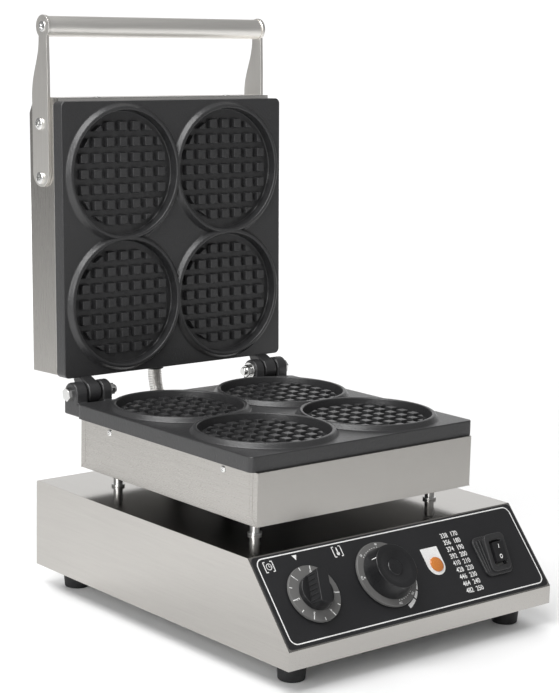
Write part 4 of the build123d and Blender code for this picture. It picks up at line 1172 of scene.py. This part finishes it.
temperature = {
    "x": -24.0,
    "up": 43.0,
    "foot": 0.8,
    "skirt": 29.6,
    "skirtTop": 3.4,
    "grip": 23.2,
    "gripTop": 20.0,
    "top": 18.4,
    "gripRound": (0.8, 0.2),  # inwards and down
    "dish": 15.5,
    "dishDepth": 3.0,
    "dishLip": 0.8,
    "dishWall": (1.2, 0.9),  # inwards and down
    "button": 7.0,
    "buttonFoot": (2.4, 0.3),  # outwards and up
    "buttonRound": (0.4, 0.8),  # inwards and up
    "buttonHeight": 0.9,
    "edge": 0.5,
    "steps": 88,
    # first and last angle, how many dots, and the numbers at the two ends
    "dots": ((-4.0, 42.0, 8, "90", "50"), (-142.0, -180.0, 7, "300", "250")),
    "dot": (24.4, 0.42),  # radius on the skirt, size
    "numbers": (27.0, 2.7),
    "middleAngle": 88.0,
    "middleDot": (24.6, 0.7),
    "middleNumber": (27.1, 2.9),
    "pointerAngle": 57.0,
    "pointer": (0.9, 0.12, 5.0),
    "pointerOut": 0.55,
    "pointerBelowTop": 3.0,
}
skirtLean = 0.4
skirtEdge = 0.5


def addSkirt(name, body, knob, steps, inner=()):
    profile = [
        (0.0, knob["foot"]),
        (knob["skirt"], knob["foot"]),
        (knob["skirt"] - skirtLean, knob["skirtTop"]),
        *inner,
        (0.0, knob["skirtTop"]),
    ]
    skirt = turned(profile, steps)
    soften(skirt, skirtEdge, 3, 40.0)
    put(skirt, onSlope(knob["x"], knob["up"]))
    # grey plastic, a painted reflection on the black skirt
    addPiece(skirt, name, body, "skirtPaintedSheen")


def addTimerKnob():
    foot, hub, hubTop, gripTop = (timer[key] for key in ("foot", "hub", "hubTop", "gripTop"))
    ring = (hub + timer["skirtRing"], timer["skirtTop"])
    addSkirt("timerSkirt", "timer_knob_body", timer, timer["skirtSteps"], [ring])
    profile = [(0.0, foot), (hub, foot), (hub, hubTop), (0.0, hubTop)]
    work = turned(profile, timer["hubSteps"])
    soften(work, timer["hubEdge"], 3, 40.0)
    # the grip is a wedge across the hub, ribbed on both sides and rounded at its ends
    low = hubTop - timer["gripSink"]
    wide, narrow = timer["gripFootWidth"] / 2, timer["gripTopWidth"] / 2
    reach = hub + 2  # past the hub, before the ends are rounded
    ribLength = gripTop - hubTop + timer["ribLonger"]
    grip = bmesh.new()
    outline = [(-wide, low), (wide, low), (narrow, gripTop), (-narrow, gripTop)]
    end = grip.faces.new([grip.verts.new((x, -reach, z)) for x, z in outline])
    drawOut(grip, [end], (0, 2 * reach, 0))
    lean = math.degrees(math.atan2(wide - narrow, gripTop - low))
    for side in (-1, 1):
        for rib in range(timer["ribs"]):
            along = (rib - (timer["ribs"] - 1) / 2) * timer["ribPitch"]
            spot = shifted(side * (wide + narrow) / 2, along, (gripTop + low) / 2)
            ridge = block(timer["ribDepth"], timer["ribWidth"], ribLength)
            out = shifted(side * timer["ribOut"], 0, 0)
            join(grip, ridge, spot @ turnedY(-side * lean) @ out)
    cutRound(grip, hub - timer["gripInsideHub"], timer["gripSteps"], cap=True)
    faceOutwards(grip)
    soften(grip, timer["gripEdge"], 2, 45.0)
    join(work, grip, turnedZ(timer["turn"]))
    put(work, onSlope(timer["x"], timer["up"]))
    addPiece(work, "timerKnob", "timer_knob_body", "knobPlastic", ["timer_knob"])


def addTemperatureKnob():
    body = "temperature_knob_body"
    knob = temperature
    addSkirt("temperatureSkirt", body, knob, knob["steps"])
    top, button, floor = knob["top"], knob["button"], knob["top"] - knob["dishDepth"]
    profile = [
        (0.0, knob["foot"]),
        (knob["grip"], knob["foot"]),
        (knob["grip"], knob["skirtTop"]),
        (knob["gripTop"], top - knob["gripRound"][1]),
        (knob["gripTop"] - knob["gripRound"][0], top),
        (knob["dish"] + knob["dishLip"], top),
        (knob["dish"] - knob["dishWall"][0], top - knob["dishWall"][1]),
        (button + knob["buttonFoot"][0], floor + knob["buttonFoot"][1]),
        (button, floor),
        (button - knob["buttonRound"][0], floor + knob["buttonRound"][1]),
        (0.0, floor + knob["buttonHeight"]),
    ]
    work = turned(profile, knob["steps"])
    soften(work, knob["edge"], 3, 25.0)
    put(work, onSlope(knob["x"], knob["up"]))
    addPiece(work, "temperatureKnob", body, "knobPlastic", ["temperature_knob"])


addTimerKnob()
addTemperatureKnob()
print("knobs made")


# Prints: flat shapes a hair above what carries them
printSheet = 0.06
printGap = 0.01
lettering = {"narrow": 0.9, "weight": 0.012, "resolution": 3}


def addPrint(work, name, body):
    addPiece(work, name, body, "whitePrint", smoothAngle=20.0)


def addBar(work, x, y, width, height, place):
    join(work, block(width, height, printSheet), place @ shifted(x, y, printSheet / 2))


def addDisc(work, x, y, radius, place, segments=20):
    join(work, rod(radius, printSheet, segments), place @ shifted(x, y, 0))


def addRing(work, x, y, radius, width, place, stretch=1.0):
    inner = radius - width
    corners = [(inner, 0.0), (radius, 0.0), (radius, printSheet), (inner, printSheet)]
    ring = turned(corners + corners[:1], 36)
    bmesh.ops.scale(ring, vec=(1, stretch, 1), verts=ring.verts)
    join(work, ring, place @ shifted(x, y, 0))


def addNumber(work, text, size, place):
    curve = bpy.data.curves.new("number", "FONT")
    curve.body = text
    curve.size = size
    curve.align_x = "CENTER"
    curve.align_y = "CENTER"
    curve.resolution_u = lettering["resolution"]
    curve.extrude = printSheet / 2
    curve.offset = size * lettering["weight"]
    shape = workedOut(newObject("number", curve))
    wide = Matrix.Diagonal((lettering["narrow"], 1, 1, 1))
    joinCopy(work, shape, place @ shifted(0, 0, printSheet / 2) @ wide)
    bpy.data.meshes.remove(shape)


def roundedSheet(width, height, corner):
    work = bmesh.new()
    bmesh.ops.create_grid(work, x_segments=1, y_segments=1, size=0.5)
    bmesh.ops.scale(work, vec=(width, height, 1), verts=work.verts)
    bmesh.ops.bevel(
        work, geom=work.verts[:], offset=corner, segments=8, profile=0.5, material=-1,
        affect="VERTICES",
    )
    return work


def thicken(work, amount):
    drawOut(work, work.faces[:], (0, 0, amount))
    faceOutwards(work)


panelPrints = {
    "borderWidth": 290.0,
    "borderHeight": 76.0,
    "borderMiddle": 41.9,
    "borderLine": 1.0,
    "borderCorner": 7.0,
    "pointer": (-105.2, 74.7, 5.0, 4.6),
    "clock": (-133.8, 71.7),
    "clockRing": (2.9, 0.6),
    "clockHands": ((0.0, 0.8, 0.5, 1.8), (0.7, -0.2, 1.5, 0.5)),
    "thermometer": (-60.8, 72.2),
    "thermometerStem": (0.9, 1.3, 4.2),
    "thermometerEnds": ((3.0, 0.65), (-1.9, 1.6)),
    "iconSize": 9.8,
    "iconLine": 0.8,
    "iconHook": 2.4,
    "rows": 9,
    "columns": ((57.7, 338, 18), (69.6, 170, 10)),  # place, first number, step
    "firstRow": 65.4,
    "rowPitch": 6.55,
    "numberSize": 6.3,
    "arcInner": 30.6,
    "arcOuter": 34.2,
    "arcTip": 31.6,
    "arcSteps": 8,
    "arcSpans": ((-162.0, -143.5), (-141.0, -127.5), (-125.0, -108.0)),
}


def addBracketIcon(work, x, up, sheet):
    size, line, hook = (panelPrints[key] for key in ("iconSize", "iconLine", "iconHook"))
    for side in (-1, 1):
        addBar(work, x + side * (size - line) / 2, up, line, size, sheet)
        for end in (-1, 1):
            hookMiddle = x + side * (size / 2 - hook / 2)
            addBar(work, hookMiddle, up + end * (size - line) / 2, hook, line, sheet)


def addBorder(work, sheet):
    outline = [panelPrints[key] for key in ("borderWidth", "borderHeight", "borderCorner")]
    border = roundedSheet(*outline)
    inner = border.faces[:]
    bmesh.ops.inset_region(
        border, faces=inner, thickness=panelPrints["borderLine"], use_boundary=True
    )
    bmesh.ops.delete(border, geom=inner, context="FACES")
    thicken(border, printSheet)
    join(work, border, sheet @ shifted(0, panelPrints["borderMiddle"], 0))


def addPointer(work, sheet):
    x, up, width, height = panelPrints["pointer"]
    pointer = bmesh.new()
    corners = ((-width / 2, height / 2, 0), (0, -height / 2, 0), (width / 2, height / 2, 0))
    pointer.faces.new([pointer.verts.new(spot) for spot in corners])
    thicken(pointer, printSheet)
    join(work, pointer, sheet @ shifted(x, up, 0))


def addIcons(work, sheet):
    x, up = panelPrints["clock"]
    addBracketIcon(work, x, up, sheet)
    addRing(work, x, up, *panelPrints["clockRing"], sheet)
    for right, above, width, height in panelPrints["clockHands"]:
        addBar(work, x + right, up + above, width, height, sheet)
    x, up = panelPrints["thermometer"]
    addBracketIcon(work, x, up, sheet)
    above, width, height = panelPrints["thermometerStem"]
    addBar(work, x, up + above, width, height, sheet)
    for above, radius in panelPrints["thermometerEnds"]:
        addDisc(work, x, up + above, radius, sheet)


def addTaperedArc(work):
    # a band round the temperature dial that grows towards the hot end
    middle = onSlope(temperature["x"], temperature["up"], printGap)
    hot, cold = panelPrints["arcSpans"][0][0], panelPrints["arcSpans"][-1][1]
    tip, steps = panelPrints["arcTip"], panelPrints["arcSteps"]
    for start, end in panelPrints["arcSpans"]:
        band = bmesh.new()
        rungs = []
        for step in range(steps + 1):
            angle = start + (end - start) * step / steps
            outer = tip + (panelPrints["arcOuter"] - tip) * (angle - cold) / (hot - cold)
            turn = math.radians(angle)
            ray = Vector((-math.sin(turn), math.cos(turn), 0))
            pair = [band.verts.new(ray * radius) for radius in (panelPrints["arcInner"], outer)]
            rungs.append(band.edges.new(pair))
        for first, second in zip(rungs, rungs[1:]):
            bmesh.ops.contextual_create(band, geom=[first, second])
        faceOutwards(band)
        thicken(band, printSheet)
        join(work, band, middle)


def addPanelPrints():
    work = bmesh.new()
    sheet = onSlope(0, 0, printGap)
    addBorder(work, sheet)
    addPointer(work, sheet)
    addIcons(work, sheet)
    for row in range(panelPrints["rows"]):
        up = panelPrints["firstRow"] - row * panelPrints["rowPitch"]
        for x, first, step in panelPrints["columns"]:
            place = onSlope(x, up, printGap)
            addNumber(work, str(first + row * step), panelPrints["numberSize"], place)
    addTaperedArc(work)
    addPrint(work, "panelPrints", "base")


def addDialNumber(work, text, radius, size, place):
    addNumber(work, text, size, place @ shifted(0, radius, 0))


def addTimerMarks():
    place = onSlope(timer["x"], timer["up"], timer["skirtTop"] + printGap)
    work = bmesh.new()
    for mark in range(timer["marks"]):
        turnedPlace = place @ turnedZ(timer["markStep"] * mark - timer["firstMark"])
        radius, width, length = timer["shortMark" if mark % 2 else "longMark"]
        addBar(work, 0, radius, width, length, turnedPlace)
        if mark % 2 == 0:
            addDialNumber(work, str(mark // 2), *timer["numbers"], turnedPlace)
    addPrint(work, "timerMarks", "timer_knob_body")


def addTemperatureMarks():
    knob = temperature
    place = onSlope(knob["x"], knob["up"], knob["skirtTop"] + printGap)
    work = bmesh.new()
    for first, last, count, firstNumber, lastNumber in knob["dots"]:
        for step in range(count):
            angle = first + (last - first) * step / (count - 1)
            addDisc(work, 0, *knob["dot"], place @ turnedZ(angle), 12)
        for angle, text in ((first, firstNumber), (last, lastNumber)):
            addDialNumber(work, text, *knob["numbers"], place @ turnedZ(angle))
    middle = place @ turnedZ(knob["middleAngle"])
    addDisc(work, 0, *knob["middleDot"], middle, 16)
    addDialNumber(work, "170", *knob["middleNumber"], middle)
    # a line on the grip's leaning side
    rise = knob["top"] - knob["skirtTop"]
    lean = math.degrees(math.atan2(knob["grip"] - knob["gripTop"], rise))
    out = shifted(0, knob["gripTop"] + knob["pointerOut"], rise - knob["pointerBelowTop"])
    side = turnedZ(knob["pointerAngle"]) @ out
    join(work, block(*knob["pointer"]), place @ side @ turnedX(lean))
    addPrint(work, "temperatureMarks", "temperature_knob_body")


# Indicator: a white label round an orange lens
lamp = {"x": 35.0, "up": 42.0, "radius": 6.75, "rim": 0.9, "rise": 2.4}
label = {"left": 24.5, "right": 44.0, "top": 58.0, "round": 42.2, "height": 0.25, "edge": 0.08}


def addIndicator():
    half = (label["right"] - label["left"]) / 2
    middle = (label["left"] + label["right"]) / 2
    rise = label["top"] - label["round"]
    work = bmesh.new()
    others = [(half, rise, 0), (-half, rise, 0)]
    halfRound(work, (-half, 0, 0), (0, 0, 0), (0, 0, 1), 28, others)
    thicken(work, label["height"])
    soften(work, label["edge"], 2, 60.0)
    put(work, onSlope(middle, label["round"]))
    addPiece(work, "indicatorLabel", "base", "whitePrint")
    lens = domed(lamp["radius"], lamp["rim"], lamp["rise"], 56)
    put(lens, onSlope(lamp["x"], lamp["up"]))
    addPiece(lens, "indicatorLens", "base", "orangeLens", ["indicator_lens"])


# Power switch
switch = {
    "x": 101.5,
    "up": 38.5,
    "flange": (32.0, 37.0, 6.0),  # width, height, corner
    "flangeRise": 2.4,
    "flangeShift": -2.2,
    "shroud": (24.0, 32.0, 5.0),
    "topRise": 11.4,
    "bottomRise": 3.9,
    "edge": 0.8,
    "window": (14.0, 21.0, 0.8),
    "ridges": ((-13.2, 3.0, 6.6), (-15.2, 2.8, 4.6)),  # place, lower and upper end
    "ridgeWidth": 1.3,
    "ridgeShorter": 3.0,
    "ridgeEdge": 0.45,
    "rockerShift": -0.75,
}
rocker = {
    "half": 8.25,
    "low": 7.9,
    "middle": 9.75,
    "high": 12.6,
    "markAbove": 0.02,
    "line": (0, 0.3, 0.8, 3.6),
    "ring": (0, -0.2, 1.7, 0.75),
    "ringStretch": 1.2,
}


def leaningRise(vert, low, high):
    return low + (high - low) * (vert.co.y / switch["shroud"][1] + 0.5)


def wedgeFrame(outer, low, high, shift=0.0):
    # a rounded frame round the rocker's window, whose top leans from low to high
    work = put(roundedSheet(*outer), shifted(shift, 0, 0))
    join(work, roundedSheet(*switch["window"]), shifted(0, switch["rockerShift"], 0))
    bmesh.ops.delete(work, geom=work.faces[:], context="FACES_ONLY")
    bmesh.ops.bridge_loops(work, edges=work.edges[:])
    for vert in drawOut(work, work.faces[:], (0, 0, 0)):
        vert.co.z += leaningRise(vert, low, high)
    faceOutwards(work)
    soften(work, switch["edge"], 3, 50.0)
    return work


def addSwitch():
    place = onSlope(switch["x"], switch["up"])
    flangeRise = switch["flangeRise"]
    bezel = wedgeFrame(switch["flange"], flangeRise, flangeRise, switch["flangeShift"])
    join(bezel, wedgeFrame(switch["shroud"], switch["bottomRise"], switch["topRise"]))
    ridgeLength = switch["shroud"][1] - switch["ridgeShorter"]
    for x, low, high in switch["ridges"]:
        ridge = block(switch["ridgeWidth"], ridgeLength, 1.0)
        for vert in ridge.verts:
            vert.co.z = leaningRise(vert, low, high) if vert.co.z > 0 else 0.0
        soften(ridge, switch["ridgeEdge"], 3, 50.0)
        join(bezel, ridge, shifted(x, 0, 0))
    put(bezel, place)
    addPiece(bezel, "switchBezel", "base", "bezelPlastic", ["switch_bezel"])
    middle = place @ shifted(0, switch["rockerShift"], 0)

    def onRocker(end, low, high):
        # the middle of one of the rocker's two leaning faces
        lean = math.degrees(math.atan2(high - low, rocker["half"]))
        spot = shifted(0, end * rocker["half"] * 0.5, (high + low) / 2 + rocker["markAbove"])
        return middle @ spot @ turnedX(lean)

    work = bmesh.new()
    addBar(work, *rocker["line"], onRocker(1, rocker["middle"], rocker["high"]))
    lower = onRocker(-1, rocker["low"], rocker["middle"])
    addRing(work, *rocker["ring"], lower, rocker["ringStretch"])
    addPrint(work, "rockerMarks", "power_rocker_body")


addPanelPrints()
addTimerMarks()
addTemperatureMarks()
addIndicator()
addSwitch()
print("panel made")


# Flexible metal hose from the base to the lid
hose = {
    "route": ((136.324, 106.0), (136.324, 134.0), (175.722, 154.931), (176.658, 182.915)),
    "radius": 6.8,
    "groove": 0.4,
    "ribPitch": 2.4,
    "ringsPerRib": 6,
    "segments": 28,
    "routeOrder": 3,
    "routeSteps": 40,
    "pointsBefore": 3,  # the route's direction is taken over these
    "pointsAfter": 2,
}


def hosePoints():
    curve = bpy.data.curves.new("hoseRoute", "CURVE")
    curve.dimensions = "3D"
    curve.resolution_u = hose["routeSteps"]
    spline = curve.splines.new("NURBS")
    spline.points.add(len(hose["route"]) - 1)
    for point, (y, z) in zip(spline.points, hose["route"]):
        point.co = (0, y, z, 1)
    spline.order_u = hose["routeOrder"]
    spline.use_endpoint_u = True
    return [vert.co.copy() for vert in workedOut(newObject("hoseRoute", curve)).vertices]


def addHose():
    points = hosePoints()
    last = len(points) - 1
    lengths = [0.0]
    for first, second in zip(points, points[1:]):
        lengths.append(lengths[-1] + (second - first).length)
    total = lengths[-1]
    count = int(total / hose["ribPitch"]) * hose["ringsPerRib"]

    def ringPlace(step):
        # where a ring stands along the route, and how wide it is
        distance = total * step / count
        index = next((i for i in range(1, last) if lengths[i] >= distance), last)
        share = (distance - lengths[index - 1]) / (lengths[index] - lengths[index - 1])
        spot = points[index - 1].lerp(points[index], share)
        before = points[max(0, index - hose["pointsBefore"])]
        ahead = points[min(last, index + hose["pointsAfter"])] - before
        wave = 0.5 - 0.5 * math.cos(math.tau * step / hose["ringsPerRib"])
        radius = hose["radius"] - hose["groove"] * (1 - wave)
        return placeAlong(spot, across, ahead) @ Matrix.Scale(radius, 4)

    work = bmesh.new()
    bmesh.ops.create_circle(work, segments=hose["segments"], radius=1.0)
    loop = work.edges[:]
    now = ringPlace(0)
    put(work, now)
    for step in range(1, count + 1):
        after = ringPlace(step)
        grown = bmesh.ops.extrude_edge_only(work, edges=loop)["geom"]
        loop = [part for part in grown if isinstance(part, bmesh.types.BMEdge)]
        bmesh.ops.transform(work, matrix=after @ now.inverted(), verts=vertsOf(grown))
        now = after
    bmesh.ops.holes_fill(work, edges=openEdges(work))
    faceOutwards(work)
    piece = addPiece(
        work, "conduitHose", None, "hoseMetal", ["lid_conduit"], 60.0
    )
    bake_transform(piece)


addHose()
print("hose made")
